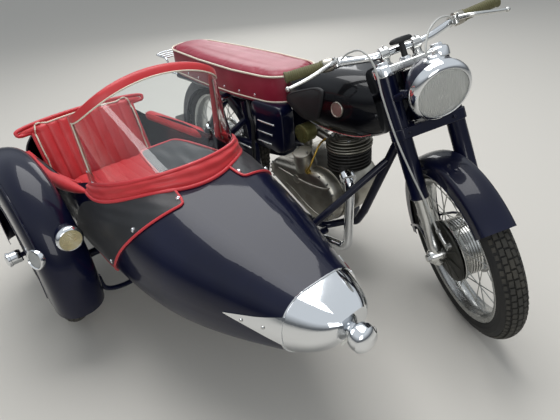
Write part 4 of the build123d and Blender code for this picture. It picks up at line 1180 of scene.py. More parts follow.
bm = bmesh.new()
rings = []
for height, inset in ((700, 6), (770, 6), (782, 9), (790, 16), (793, 30), (794, 60), (794, 90)):
    rings.append([at(x, y, height + seat_lift(x) * (height > 720)) for x, y in seat_outline(inset)])
skin(bm, rings)
seat = coated(swollen(loose("seat_pad", bm), PAD_PRESSURE, most_mm=7.0), burgundy)
settle(seat, "root", edge=60, levels=1, replaces=["dual_seat"], slot="burgundy_vinyl")
bm = bmesh.new()
rings = []
for height, inset in ((SEAT_LOW, 6), (SEAT_LOW, 1), (SEAT_LOW + 4, 0), (720, -1.0),
    (PIPING_HEIGHT - 6, 0), (PIPING_HEIGHT, 3),
                      (PIPING_HEIGHT, 9)):
    rings.append([bm.verts.new(at(x, y, height + seat_lift(x) * (height > 730))) for x,
                  y in seat_outline(inset)])
ring_faces(bm, rings)
ring_faces(bm, [rings[-1], rings[0]])
piece("seat_skirt", bm, burgundy, "root", 40, slot="burgundy_vinyl")
bm = bmesh.new()
for height, thick in ((PIPING_HEIGHT, 4.2), (SEAT_LOW + 12, 3.0)):
    pipe(bm, [at(x, y, height + seat_lift(x) * (height > 730)) for x, y in seat_outline(-1.0)],
         thick, 10, loop=True)
piece("seat_piping", bm, cream_piping, "root", slot="burgundy_vinyl")
bm = bmesh.new()
for side in (-1, 1):
    for x in (-180, -70, 40, 150, 260, 370, 470):
        radius = float(np.interp(x, [c[0] for c in seat_circles], [c[1] for c in seat_circles]))
        turn(bm, [(-3, 0), (-3, 6.5), (1, 6.5), (3.5, 4.5), (4.5, 0)], at(x, side * radius, 700),
             LEFT * side, 16)
piece("seat_skirt_studs", bm, chrome, "root", slot="chrome")

# %% [markdown]
# ## Rear end
# The rear mudguard is the same kind of rolled section as the front one. Each damper is two
# telescoping shrouds, which hide its spring, between bright eyes. The tail lamp is a ruby dome in
# a bright ring.

# %% Rear mudguard, dampers and lamp
guard("rear_guard", guard_section(crown=352, half=65.5, foot=296, wall=3), rear_axle, LEFT,
      first=18, last=200, body="root", node="rear_mudguard")
bm, bright_parts = bmesh.new(), bmesh.new()
for side in (-1, 1):
    low, top = at(0, side * 150, 346), at(255, side * 150, 644)
    way = (top - low).normalized()
    length = (top - low).length / MM
    turn(bm, [(34, 0), (34, 24), (36, 25.5), (length * 0.46, 25.5), (length * 0.46 + 3, 24),
              (length * 0.46 + 3, 19),
              (length - 40, 19.5), (length - 34, 22), (length - 12, 22), (length - 10, 18),
              (length - 10, 0)], low, way, 40)
    turn(bright_parts, [(length * 0.46 - 8, 20), (length * 0.46 - 8, 26.5),
        (length * 0.46 + 2, 26.5), (length * 0.46 + 4, 20)],
         low, way, 40)
    turn(bright_parts, [(0, 0), (0, 10), (36, 10), (36, 0)], low, way, 20)
    for spot in (low, top):
        turn(bright_parts, [(-14, 0), (-14, 15), (14, 15), (14, 9), (22, 8), (22, 0)], spot,
             LEFT * side, 24)
piece("damper_shrouds", bm, navy, "root", slot="navy_enamel", replaces=["rear_shocks"])
piece("damper_rings_and_eyes", bright_parts, chrome, "root", slot="chrome")
LAMP_TURN = math.radians(18)
tail = rear_axle + (FORWARD * -math.cos(LAMP_TURN) + UP * math.sin(LAMP_TURN)) * 356 * MM
lamp_way = (FORWARD * -1 + UP * 0.08).normalized()
turned("tail_lamp_ring", [(-14, 0), (-14, 26), (14, 29), (18, 28), (18, 22), (10, 22)], tail,
       lamp_way, chrome, "root", 40,
       slot="chrome")
turned("tail_lamp_lens", [(10, 22), (20, 22), (28, 18), (33, 9), (34, 0), (10, 0)], tail, lamp_way,
       red_lens, "root", 40,
       True, replaces=["rear_lamp"], slot="red_lens")

# %% [markdown]
# ## Boxes and covers
# The tool box and the covers are pressings with generous corners, and polished strips are screwed
# along their outer faces.

# %% Boxes, covers and strips


def soft_plate(bm, corners, radius, y_in, y_out, crown=3.0):
    """A pressed lid: an upright outline with round corners, crowned outwards."""
    points = flat(corners)
    outline = []
    for before, here, after in zip([points[-1], *points[:-1]], points, [*points[1:], points[0]]):
        a, b = (before - here).normalized(), (after - here).normalized()
        start, end = here + a * radius, here + b * radius
        for step in range(7):
            t = step / 6
            outline.append((1 - t) ** 2 * start + 2 * t * (1 - t) * here + t * t * end)
    centre = sum(outline, Vector()) / len(outline)
    out = 1 if y_out > y_in else -1
    rings = []
    for share, depth in ((0.99, 0.0), (1.0, 0.04), (1.0, 0.84), (0.985, 0.95), (0.955, 1.0),
        (0.5, 1.0)):
        y = y_in + (y_out - y_in) * depth + (out * crown if share < 0.9 else 0.0)
        shrunk = [centre + (point - centre) * share for point in outline]
        rings.append([bm.verts.new(at(point.x, y, point.y)) for point in shrunk])
    rings.append([bm.verts.new(at(centre.x, y_out + out * crown, centre.y))])
    ring_faces(bm, rings)
    bm.faces.new(rings[0])


bm = bmesh.new()
for side in (-1, 1):
    soft_plate(bm, ((446, 480), (646, 480), (648, 682), (446, 682)), radius=42, y_in=side * 84,
               y_out=side * 148)
piece("tool_box_pressings", bm, navy, "root", 50, replaces=["tool_boxes"], slot="navy_enamel")
bm = bmesh.new()
for side in (-1, 1):
    soft_plate(bm, ((172, 468), (188, 354), (352, 324), (444, 330), (444, 474)), radius=26,
               y_in=side * 124, y_out=side * 146)
piece("rear_cover_pressings", bm, navy, "root", 50, replaces=["rear_covers"], slot="navy_enamel")
strip_rows = (((495, 602), (604, 602)), ((485, 555), (586, 555)), ((485, 511), (574, 511)))
cover_rows = (((262, 459), (417, 448)), ((246, 389), (403, 386)), ((236, 346), (386, 343)))
bm = bmesh.new()
for rows, out in ((strip_rows, 151), (cover_rows, 148)):
    for side in (-1, 1):
        for start, end in rows:
            ends = [at(x, side * out, z) for x, z in (start, end)]
            pipe(bm, smooth_path([ends[0], (ends[0] + ends[1]) / 2 + LEFT * side * 1.0 * MM,
                ends[1]], 4), 4.2, 10)
piece("bright_cover_strips", bm, strip_alloy, "root", bevel=0.8, slot="cast_aluminium")
hose = smooth_path([at(407, -128, 654), at(452, -158, 612), at(466, -160, 585), at(456, -156, 520),
    at(445, -154, 473),
                    at(430, -150, 380), at(426, -144, 323)], 8)
piped("breather_hose", [hose], 8, black_rubber, "root", 14, slot="black_rubber")

# %% Silencer
silencer_way = Vector((-1, 0, 0.06)).normalized()
turned("silencer_shell",
       [(-2, 17), (0, 22), (30, 27), (96, 40), (118, 43.5), (124, 44.5), (130, 43.5), (560, 40.5),
                          (590, 37), (690, 22), (726, 17), (732, 17.5), (734, 15), (726, 13),
        (700, 13)],
       at(500, -152, 140), silencer_way, chrome, "root", 64, edge=25, replaces=["silencer"],
       slot="chrome")
print("motorcycle done")

# %% [markdown]
# ## Engine
# The crankcase is one satin casting. A teardrop cover is bolted on its right, with a raised ridge
# along it and a round neck above. The barrel is dark finned iron and the head is finned
# aluminium, oval seen from above, for the fins are longest where the air meets them.

# %% Crankcase and its covers
crank_x, crank_z = 820, 345


def hull_outline(circles, count=96):
    """A belt round circles given as x, z and radius: points of x and z."""
    belt = []
    for angle in full_turn(count):
        way = (math.cos(angle), math.sin(angle))
        x, z, radius = max(circles, key=lambda c: c[0] * way[0] + c[1] * way[1] + c[2])
        belt.append((x + way[0] * radius, z + way[1] * radius))
    return belt


def domed_cover(bm, circles, y_in, y_out, dome, side):
    """A cover with round shoulders: its rings shrink as they rise from y_in to y_out."""
    rings = []
    for inset, rise in ((2, 0.0), (0, 0.05), (0, 0.45), (3, 0.72), (9, 0.9), (17, 1.0),
        (40, 1.0 + dome)):
        shrunk = [(x, z, max(2.0, radius - inset)) for x, z, radius in circles]
        y = y_in + (y_out - y_in) * rise
        rings.append([at(x, side * y, z) for x, z in hull_outline(shrunk)])
    skin(bm, rings)


right_circles = ((crank_x, crank_z, 112), (585, 392, 48))
bm = bmesh.new()
domed_cover(bm, right_circles, y_in=94, y_out=150, dome=0.05, side=-1)
domed_cover(bm, ((crank_x, crank_z, 100), (600, 380, 60)), y_in=94, y_out=141, dome=0.04, side=1)
slabbed = [at(x, -96, z) for x, z in hull_outline(((crank_x, crank_z, 117), (600, 380, 61)))]
slab(bm, slabbed, Vector(), LEFT * 192 * MM)
piece("crankcase_castings", bm, case_alloy, "root", 32, 1.5, replaces=["crankcase"],
      slot="cast_aluminium")
bm = bmesh.new()
turn(bm, [(-40, 0), (-40, 46), (0, 44), (22, 40), (30, 38), (31, 40), (40, 40), (43, 37), (44, 0)],
     at(738, -118, 480), (UP * 0.97 + LEFT * -0.25).normalized(), 56)
turn(bm, [(-6, 0), (-6, 20), (4, 19), (6, 16), (6, 0)], at(716, -150, 398), -LEFT, 40)
turn(bm, [(-6, 0), (-6, 13), (5, 12), (5, 0)], at(892, -147, 300), -LEFT, 8)
ridge_routes = ((((905, 420), (862, 405), (780, 398), (690, 404), (606, 414)), 3, 4),
                (((912, 300), (860, 272), (780, 290), (690, 340), (620, 366)), 2, 3))
for route, least, more in ridge_routes:
    ridge = smooth_path([at(x, -151, z) for x, z in route], 6)
    last = len(ridge) - 1
    pipe(bm, ridge, [least + more * math.sin(math.pi * step / last) for step in range(last + 1)],
         10)
piece("crankcase_neck_and_ridges", bm, case_alloy, "root", 40, slot="cast_aluminium")
bm = bmesh.new()
rim_circles = [(x, z, radius - 7) for x, z, radius in right_circles]
belt = hull_outline(rim_circles, 14)
bolt_heads(bm, [at(x, -141, z) for x, z in belt], -LEFT, 9, 7, 12)
bolt_heads(bm, [at(738 + dx, -118 + dy, 523) for dx, dy in ((30, -14), (-32, -6), (2, 30))], UP, 9,
           7)
piece("crankcase_screws", bm, rim_steel, "root", bevel=0.6, slot="cast_aluminium")
bm = bmesh.new()
turn(bm, [(-8, 0), (-8, 11), (6, 11), (8, 8), (8, 0)], at(782, -146, 452), -LEFT, 24)
turn(bm, [(-7, 0), (-7, 9), (7, 9), (7, 0)], at(700, -134, 500), (UP - LEFT).normalized(), 24)
piece("oil_unions", bm, brass, "root", bevel=0.8, slot="cast_aluminium")
oil_pipe = smooth_path([at(782, -154, 452), at(800, -150, 480), at(806, -128, 520),
    at(812, -104, 560), at(836, -92, 590)], 8)
piped("rocker_oil_pipe", [oil_pipe], 4, brass, "root", 12, slot="cast_aluminium")

# %% [markdown]
# ## Fins
# A fin is a thin oval plate with a round edge. One fin and a node tree give the whole barrel,
# because iron fins are all alike; the head's fins shrink upwards, so those are drawn in a short
# loop.

# %% Barrel and head
cylinder_x, BARREL_FOOT, BARREL_TOP = 872, 448, 540


def oval(x, z, along, across, count=72):
    """An ellipse across the cylinder's axis."""
    return [at(x + along * math.cos(a), across * math.sin(a), z)
            for a in full_turn(count)]


def fin(bm, z, thick, along, across, hollow=56):
    """One fin: an oval plate with a rounded edge round the cylinder's wall."""
    rings = [[bm.verts.new(point)
              for point in oval(cylinder_x, height, reach, reach + across - along)]
             for height, reach in ((z, hollow), (z, along - 1.5), (z + thick * 0.5, along),
                 (z + thick, along - 1.5),
                                   (z + thick, hollow))]
    ring_faces(bm, [*rings, rings[0]])


bm = bmesh.new()
fin(bm, BARREL_FOOT + 14, 5, 82, 94)
repeated("barrel_fins", bm, iron, "root", row_tree, 6, Vector(), UP, 13.5 * MM, edge=40,
         replaces=["cylinder_barrel"], slot="dark_iron")
bm = bmesh.new()
turn(bm, [(0, 0), (0, 59), (92, 59), (92, 0)], at(cylinder_x, 0, BARREL_FOOT), UP, 64)
for dx, dy in ((-46, -52), (46, -52), (-46, 52), (46, 52)):
    turn(bm, [(6, 0), (6, 7), (92, 7), (92, 0)], at(cylinder_x + dx, dy, BARREL_FOOT), UP, 12)
port, port_way = at(cylinder_x + 58, -80, 460), Vector((0.80, -0.45, -0.40)).normalized()
turn(bm, [(-60, 0), (-60, 23), (0, 23), (0, 0)], port, port_way, 40)
piece("barrel_wall", bm, iron, "root", slot="dark_iron")
bm = bmesh.new()
for z, thick, along, across in ((540, 7, 86, 96), (553, 4.5, 87, 97), (563.5, 4.5, 84, 94),
    (574, 4.5, 76, 86)):
    fin(bm, z, thick, along, across, 50)
turn(bm, [(0, 0), (0, 56), (34, 54), (42, 46), (46, 26), (46, 0)], at(cylinder_x, 0, BARREL_TOP),
     UP, 64)
for reach in (20, 34, 48, 62):
    line = [at(cylinder_x + reach * 0.92 * math.cos(a), (reach + 8) * math.sin(a),
               580 + (62 - reach) * 0.08)
            for a in full_turn(64)]
    pipe(bm, line, [2.6] * 64, 8, loop=True)
turn(bm, [(36, 0), (36, 11), (52, 11), (54, 14), (62, 14), (64, 9), (66, 0)],
     at(cylinder_x, 0, BARREL_TOP), UP, 24)
piece("cylinder_head_casting", bm, head_alloy, "root", 40, replaces=["cylinder_head"],
      slot="cast_aluminium")
bm = bmesh.new()
bolt_heads(bm, [at(cylinder_x + dx, dy, 579) for dx,
                dy in ((-42, -48), (42, -48), (-42, 48), (42, 48))], UP, 15, 9)
piece("head_nuts", bm, rim_steel, "root", bevel=0.8, slot="cast_aluminium")

# %% [markdown]
# ## Exhaust nut
# A chromed nut with cooling fins screws over the port and holds the pipe.

# %% Exhaust nut and carburettor
nut = [(0, 24)]
for step in range(5):
    start = 1 + step * 5.2
    nut += [(start, 25), (start + 0.6, 29.5), (start + 2.6, 29.5), (start + 3.2, 25)]
turned("exhaust_nut", [*nut, (28, 24), (29, 20), (29, 0)], port, port_way, chrome, "root", 48,
       edge=30, slot="chrome")
bm = bmesh.new()
drum = at(700, -40, 572)
turn(bm, [(0, 0), (0, 36), (4, 38), (44, 38), (48, 36), (50, 39), (54, 39), (57, 34), (58, 12),
          (58, 0)], drum, -LEFT, 56)
for angle in full_turn(8):
    spot = drum + (FORWARD * math.cos(angle) + UP * math.sin(angle)) * 26 * MM - LEFT * 57 * MM
    turn(bm, [(0, 0), (0, 3), (2.5, 3), (2.5, 0)], spot, -LEFT, 10)
piece("carburettor_drum", bm, olive_plate, "root", 34, 0.8, replaces=["carburettor"],
      slot="cast_aluminium")
bm = bmesh.new()
turn(bm, [(-38, 0), (-38, 24), (38, 24), (38, 0)], at(700, 0, 572), LEFT, 40)
turn(bm, [(-34, 0), (-34, 17), (-8, 17), (-6, 20), (24, 20), (26, 15), (32, 15), (32, 0)],
     at(706, -66, 528), UP, 36)
pipe(bm, smooth_path([at(722, -20, 562), at(760, -10, 545), at(806, 0, 520)], 5), 17, 24)
piece("carburettor_body", bm, case_alloy, "root", 34, 0.8, slot="cast_aluminium")
print("engine done")

# %% [markdown]
# ## Sidecar: laying things on the hull
# The hull keeps its engineered shape, a boat-like shell under navy enamel with a chromed nose.
# All that lies on it is found by looking inwards at the shell from outside, as a trimmer's hands
# would.

# %% Finding the hull


def surface_of(*objects):
    """A searchable surface from the meshes of some objects."""
    points, faces = [], []
    for thing in objects:
        base = len(points)
        points += [vert.co.copy() for vert in thing.data.vertices]
        faces += [[base + index for index in face.vertices] for face in thing.data.polygons]
    return BVHTree.FromPolygons(points, faces)


hull = surface_of(frame["nodes"]["sidecar_body"], frame["nodes"]["nose_cap"])


HULL_HEIGHT, FAR = 455, 1.0


def laid(surface, start, way, proud=0.0):
    """The first point of a surface from a start along a way, lifted back towards the start."""
    spot, normal, _, _ = surface.ray_cast(start, way.normalized(), FAR)
    if spot is None:
        return None
    normal = normal if normal.dot(way) < 0 else -normal
    return spot + normal * proud * MM


def round_hull(x, angle, proud=0.0):
    """The hull's skin at a place along it, seen from outside at an angle above its right side."""
    way = LEFT * -math.cos(angle) + UP * math.sin(angle)
    return laid(hull, at(x, body_y, HULL_HEIGHT) + way * 0.6, -way, proud)


def sheeted(name, rows, material, body, thick_mm, **how):
    """A grid of points made a sheet with a real thickness."""
    bm = bmesh.new()
    ring_faces(bm, [[bm.verts.new(point) for point in row] for row in rows], False)
    made = loose(name, bm)
    wall = made.modifiers.new("thickness", "SOLIDIFY")
    wall.thickness, wall.offset, wall.use_even_offset = thick_mm * MM, 0.0, False
    plain_mesh(made)
    return settle(coated(made, material), body, **how)


# %% [markdown]
# ## Apron
# A black vinyl apron is stretched over the deck ahead of the cockpit and buttoned down with press
# studs. It pulls into shallow folds from stud to stud, and red piping edges its front and its
# sides.

# %% Apron
COCKPIT_FRONT, COCKPIT_BOW, COCKPIT_HALF = 560.0, 262.0, 246.0
APRON_ROUND, APRON_ALONG = 96, 20
APRON_FRONT, APRON_BACK, APRON_SLOPE, APRON_LEVEL = 880, 560, 0.9, 600
APRON_PROUD, BIGGEST_STEP = 4.2, 12


def apron_limits(angle):
    """Where the apron starts and ends along the hull at an angle round it."""
    edge = 800.0
    for _ in range(3):
        spot = round_hull(edge, angle)
        height, offset = spot.z / MM, abs(spot.y - at(0, body_y, 0).y) / MM
        edge = APRON_FRONT + APRON_SLOPE * (height - APRON_LEVEL)
    back = APRON_BACK + APRON_SLOPE * (height - APRON_LEVEL)
    if offset < COCKPIT_HALF:
        bow = COCKPIT_BOW * math.sqrt(1 - (offset / COCKPIT_HALF) ** 2)
        back = max(back, COCKPIT_FRONT + bow + 2)
    return back, edge


angles = [math.radians(-22 + (180 + 44) * step / APRON_ROUND) for step in range(APRON_ROUND + 1)]
limits = [apron_limits(angle) for angle in angles]
for _ in range(6):
    limits = [limits[0], *[((a[0] + 2 * b[0] + c[0]) / 4, (a[1] + 2 * b[1] + c[1]) / 4)
                           for a, b, c in zip(limits, limits[1:], limits[2:])], limits[-1]]


def hull_reach(x, angle):
    """How far the hull's skin is from its middle line at a place along it, or nothing at a hole."""
    spot = round_hull(x, angle)
    return None if spot is None else (spot - at(x, body_y, HULL_HEIGHT)).length


rows, reaches = [], [hull_reach(front, angle) for angle, (back, front) in zip(angles, limits)]
for step in reversed(range(APRON_ALONG + 1)):
    share, row = step / APRON_ALONG, []
    for column, (angle, (back, front)) in enumerate(zip(angles, limits)):
        x = back + (front - back) * share
        reach = hull_reach(x, angle)
        if reach is not None and abs(reach - reaches[column]) < BIGGEST_STEP * MM:
            reaches[column] = reach
        ends = math.sin(math.pi * share)
        fold = 1.7 * math.sin(angle * 17 + share * 3.5 + 0.8 * math.sin(angle * 5)) * ends ** 0.7
        fold += 1.1 * math.sin(angle * 31 - share * 7) * ends
        way = LEFT * -math.cos(angle) + UP * math.sin(angle)
        row.append(at(x, body_y, HULL_HEIGHT) + way * (reaches[column] + (APRON_PROUD + fold) * MM))
    rows.insert(0, row)
apron = sheeted("apron_cloth", rows, black_vinyl, "root", 1.6, edge=60, replaces=["apron"],
                slot="black_vinyl")
side_edges = [[row[column] for row in rows] for column in (0, -1)]
piped("apron_piping", [rows[-1], *side_edges], 4.2, red_piping, "root", 10, slot="red_vinyl")
bm = bmesh.new()
for number in range(7):
    column = 6 + number * (APRON_ROUND - 12) // 6
    back, front = limits[column]
    spot = round_hull(front - 24, angles[column], 5)
    way = (spot - at(front - 24, body_y, HULL_HEIGHT)).normalized()
    turn(bm, [(-3, 0), (-3, 8), (1.5, 8), (3, 6.5), (4.5, 5.5), (5.5, 3), (5.7, 0)], spot, way, 20)
piece("apron_press_studs", bm, chrome, "root", slot="chrome")

# %% [markdown]
# ## Windscreen
# The screen is a sheet of clear acrylic bent to a cone, so that it leans back in front and stands
# upright at its ends. Its free edges are bound in red vinyl with a cream bead, and its foot
# stands in a ruched band of red vinyl that follows the cockpit's bow.

# %% Screen surface
FOOT, FOOT_BOW, FOOT_HALF, HEAD, HEAD_BOW, HEAD_HALF = 600.0, 330.0, 253.0, 980.0, 78.0, 262.0
SCREEN_ROUND, SETTLING = math.radians(93.0), 12
FOOT_LOW, FOOT_RISE, SHOULDER, ARCH, ARCH_HALF = 626, 0.237, 834, 130, 268


def on_screen(turn_angle, height, proud=0.0):
    """A point of the screen at an angle round it and a height, standing proud of it."""
    share = (height - FOOT) / (HEAD - FOOT)
    bow = FOOT_BOW + (HEAD_BOW - FOOT_BOW) * share
    half = FOOT_HALF + (HEAD_HALF - FOOT_HALF) * share
    way = Vector((half * math.cos(turn_angle), bow * math.sin(turn_angle), 0)).normalized()
    return at(COCKPIT_FRONT + bow * math.cos(turn_angle) + way.x * proud,
              body_y + half * math.sin(turn_angle) + way.y * proud, height)


def screen_foot(turn_angle):
    """The height of the screen's foot, on a plane that rises forward."""
    height = 640.0
    for _ in range(SETTLING):
        x = (on_screen(turn_angle, height) - at(COCKPIT_FRONT, body_y, height)).x / MM
        height = FOOT_LOW + FOOT_RISE * x
    return height


def screen_head(turn_angle):
    """The height of the screen's arched top."""
    height = 900.0
    for _ in range(SETTLING):
        offset = (on_screen(turn_angle, height) - at(COCKPIT_FRONT, body_y, height)).y / MM
        height = SHOULDER + ARCH * math.sqrt(max(0.0, 1 - (offset / ARCH_HALF) ** 2))
    return height


SCREEN_COLUMNS, SCREEN_ROWS = 72, 16
turns = [-SCREEN_ROUND + 2 * SCREEN_ROUND * step / SCREEN_COLUMNS
         for step in range(SCREEN_COLUMNS + 1)]
rows = [[on_screen(angle,
    screen_foot(angle) + (screen_head(angle) - screen_foot(angle)) * step / SCREEN_ROWS, -2.5)
         for angle in turns] for step in range(SCREEN_ROWS + 1)]
sheeted("windscreen_acrylic", rows, acrylic, "root", 4, edge=60, replaces=["windscreen"],
        slot="clear_acrylic")

# %% Screen binding
BEND = 190.0
foot_left, foot_right = screen_foot(-SCREEN_ROUND), screen_foot(SCREEN_ROUND)
side_top = screen_head(SCREEN_ROUND)
border = [Vector((-SCREEN_ROUND * BEND, foot_left + (side_top - foot_left) * step / 20, 0))
          for step in range(20)]
border += [Vector((angle * BEND, screen_head(angle), 0)) for angle in turns]
border += [Vector((SCREEN_ROUND * BEND, side_top - (side_top - foot_right) * step / 20, 0))
           for step in range(1, 21)]
for _ in range(3):
    border = [border[0], *[(a + b * 2 + c) / 4 for a, b, c in zip(border, border[1:], border[2:])],
              border[-1]]
inwards = []
for before, after in zip([border[0], *border[:-1]], [*border[1:], border[-1]]):
    run = (after - before).normalized()
    inwards.append(Vector((run.y, -run.x, 0)))


def along_border(depth, proud):
    """The line at a depth inside the screen's border, standing proud of the acrylic."""
    spots = [edge + inward * depth for edge, inward in zip(border, inwards)]
    return [on_screen(spot.x / BEND, spot.y, proud) for spot in spots]


bm = bmesh.new()
section = ((-3, -2.5), (-2, 3.2), (5, 4.6), (15, 4.6), (20, 3.2), (21, 0.6), (21, -5.6), (20, -8),
           (15, -9.4), (5, -9.4),
           (-2, -8))
lines = [along_border(depth, proud) for depth, proud in section]
ring_faces(bm, [[bm.verts.new(line[step]) for line in lines] for step in range(len(border))])
piece("windscreen_binding", bm, red_vinyl, "root", 50, replaces=["screen_binding"],
      slot="red_vinyl")
piped("screen_cream_bead", [along_border(21, 2.2)], 2.6, cream_piping, "root", 8, slot="red_vinyl")
GUSSET_TALL, GUSSET_WIDE = 92, 0.34
bm, screws = bmesh.new(), bmesh.new()
for side in (-1, 1):
    corner = side * (SCREEN_ROUND - 0.02)
    foot = screen_foot(corner)
    patch = []
    for step in range(9):
        share = step / 8
        row = [on_screen(corner - side * GUSSET_WIDE * (1 - share) * column / 5,
            foot + GUSSET_TALL * share, 4.5) for column in range(6)]
        patch.append([bm.verts.new(point) for point in row])
        if step in (2, 5):
            way = (row[2] - on_screen(corner, foot + GUSSET_TALL * share, -20)).normalized()
            turn(screws, [(-2, 0), (-2, 5), (1, 5), (2.6, 3.5), (3, 0)],
                 on_screen(corner - side * GUSSET_WIDE * (1 - share) * 0.4,
                           foot + GUSSET_TALL * share, 5.5), LEFT * side, 14)
    ring_faces(bm, patch, False)
piece("screen_gussets", bm, red_vinyl, "root", 60, slot="red_vinyl")
piece("screen_gusset_screws", screws, chrome, "root", slot="chrome")

# %% Scuttle band
BAND_COLUMNS, BAND_ROWS, FOLDS = 160, 18, 11.0
BAND_BOW, BAND_HALF, BAND_PAST = 294, 270, 1.02


def deck_below(turn_angle, grow):
    """The foot of the band, where it meets the deck."""
    x = COCKPIT_FRONT + (BAND_BOW + grow) * math.cos(turn_angle)
    y = body_y + (BAND_HALF + grow) * math.sin(turn_angle)
    return laid(hull, at(x, y, 900), -UP, 4) or at(x, y, 640)


def band_angles(columns):
    """Angles from one end of the band to the other, a little past the screen's ends."""
    return [-SCREEN_ROUND * BAND_PAST + 2 * BAND_PAST * SCREEN_ROUND * column / columns
            for column in range(columns + 1)]


rows = []
for step in range(BAND_ROWS + 1):
    share, row = step / BAND_ROWS, []
    for angle in band_angles(BAND_COLUMNS):
        low, high = deck_below(angle, 0), on_screen(angle, screen_foot(angle) + 8, 3.5)
        outward = Vector((math.cos(angle), math.sin(angle), 0.6)).normalized()
        ruche = math.sin(share * FOLDS + 1.1 * math.sin(angle * 3.0))
        ruche += 0.5 * math.sin(angle * 21 + share * 5)
        swell = math.sin(math.pi * share) ** 0.6 * (6 + 2.2 * ruche)
        row.append(low + (high - low) * share + outward * swell * MM)
    rows.append(row)
sheeted("scuttle_band_ruched", rows, red_vinyl, "root", 3, edge=60, replaces=["scuttle_band"],
        slot="red_vinyl")
low_roll = [deck_below(angle, 3) for angle in band_angles(90)]
high_roll = [on_screen(angle, screen_foot(angle) + 10, 4) for angle in turns]
piped("scuttle_band_rolls", [low_roll, high_roll], 6.5, red_piping, "root", 12, slot="red_vinyl")

# %% [markdown]
# ## Upholstery
# Backrest and cushion are foam under bright red vinyl, stitched in upright flutes, with a rolled
# edge and a cream bead. Each starts as a plain pad that is a little too small; a cloth simulation
# swells it, and the flutes and beads are laid on the swollen face.

# %% Backrest
FLUTE_PITCH = 48
hinge = at(-85, body_y, 340)
LEAN = math.radians(23)
back_up = Vector((-math.sin(LEAN), 0, math.cos(LEAN)))
back_out = Vector((math.cos(LEAN), 0, math.sin(LEAN)))


def on_back(side, height, out):
    """A point of the backrest: sideways, up its slope and out of its face."""
    return hinge + (LEFT * side + back_up * height + back_out * out) * MM


wing_curve = [(300 * math.sin(a), 304 + 28 * math.cos(a)) for a in
              (math.radians(90 - 180 * step / 24) for step in range(25))]
back_border = [(232, 4), (236, 30), (236, 270), (246, 286), (292, 288), *wing_curve, (-292, 288),
               (-246, 286), (-236, 270),
               (-236, 30), (-232, 4)]
back_line = smooth_loop(back_border, 3)


def shrunk_line(line, depth):
    """An outline drawn in by a depth, each point along its own inward direction."""
    shrunk = []
    for before, here, after in zip([line[-1], *line[:-1]], line, [*line[1:], line[0]]):
        run = (after - before).normalized()
        shrunk.append(here + Vector((-run.y, run.x, 0)) * depth)
    return shrunk


def pad(name, line, place, faces):
    """A plain closed pad: an outline at several depths and heights."""
    bm = bmesh.new()
    centre = sum(line, Vector()) / len(line)
    skin(bm, [[place(*(centre + (point - centre) * share).xy, out) for point in line]
              for share, out in faces])
    return loose(name, bm)


def fluted(made, place_out, across, pitch_mm, depth_mm, inside):
    """Presses upright flutes into a swollen face."""
    for vert in made.data.vertices:
        share = inside(vert.co)
        if share > 0:
            phase = across(vert.co) / pitch_mm
            groove = abs(math.sin(math.pi * phase)) ** 0.4
            vert.co += place_out * (groove - 0.8) * depth_mm * share * MM
    made.data.update()


backrest = swollen(pad("backrest_pad", back_line, on_back,
                       ((0.97, -26), (0.985, -22), (0.985, 14), (0.975, 20), (0.95, 24), (0.8, 26),
                        (0.5, 27))),
                   PAD_PRESSURE, most_mm=7.0)
finer(backrest)


def faded(inside, width):
    """Nothing outside an edge, rising to one at a width inside it."""
    return max(0.0, min(1.0, inside / width))


def back_share(spot):
    """How fully a point of the backrest lies on its fluted face."""
    offset = spot - hinge
    side, height, out = abs(offset.y) / MM, offset.dot(back_up) / MM, offset.dot(back_out) / MM
    if out < 8:
        return 0.0
    return faded(222 - side, 12) * faded(308 - height, 12) * faded(height, 14)


fluted(backrest, back_out, lambda spot: (spot - hinge).y / MM + FLUTE_PITCH / 2, FLUTE_PITCH, 9.0,
       back_share)
settle(coated(backrest, red_vinyl), "backrest", edge=70, replaces=["backrest"], slot="red_vinyl")
back_surface = surface_of(backrest)
bead_line = smooth_path(flat(((-222, 40), (-222, 296), (-150, 310), (0, 316), (150, 310),
    (222, 296),
                              (222, 40))), 10)
bead = [laid(back_surface, on_back(point.x, point.y, 90), -back_out, 1.5)
        or on_back(point.x, point.y, 30) for point in bead_line]
piped("backrest_cream_bead", [bead], 3.6, cream_piping, "backrest", 10, slot="red_vinyl")
roll = [on_back(point.x, point.y, 18) for point in shrunk_line(back_line, 1.0)]
bm = bmesh.new()
pipe(bm, roll, 8, 12, loop=True)
pipe(bm, [on_back(-250, 0, 0), on_back(250, 0, 0)], 8, 20)
piece("backrest_edge_roll", bm, red_piping, "backrest", slot="red_vinyl")

# %% Cushion and armrests
CUSHION_X, CUSHION_Z = 200.0, 330.0


def on_cushion(along, side, out):
    """A point of the cushion: forwards, sideways and up."""
    return at(CUSHION_X + along, body_y + side, CUSHION_Z + out)


CUSHION_FLAT, CUSHION_CORNER = 153, 58
ways = [(math.cos(a), math.sin(a)) for a in (2 * math.pi * (step + 0.5) / 64 for step in range(64))]
cushion_line = flat([(math.copysign(CUSHION_FLAT, c) + CUSHION_CORNER * c,
                      math.copysign(CUSHION_FLAT, s) + CUSHION_CORNER * s) for c, s in ways])
cushion = swollen(pad("cushion_pad", cushion_line, on_cushion,
                      ((0.96, 2), (0.99, 10), (0.99, 84), (0.97, 94), (0.92, 99), (0.6, 101))),
                  PAD_PRESSURE, most_mm=8.0)
finer(cushion)


def cushion_share(spot):
    """How fully a point of the cushion lies on its fluted top."""
    offset = spot - on_cushion(0, 0, 0)
    if offset.z / MM < 80:
        return 0.0
    return faded(190 - abs(offset.x) / MM, 14) * faded(190 - abs(offset.y) / MM, 14)


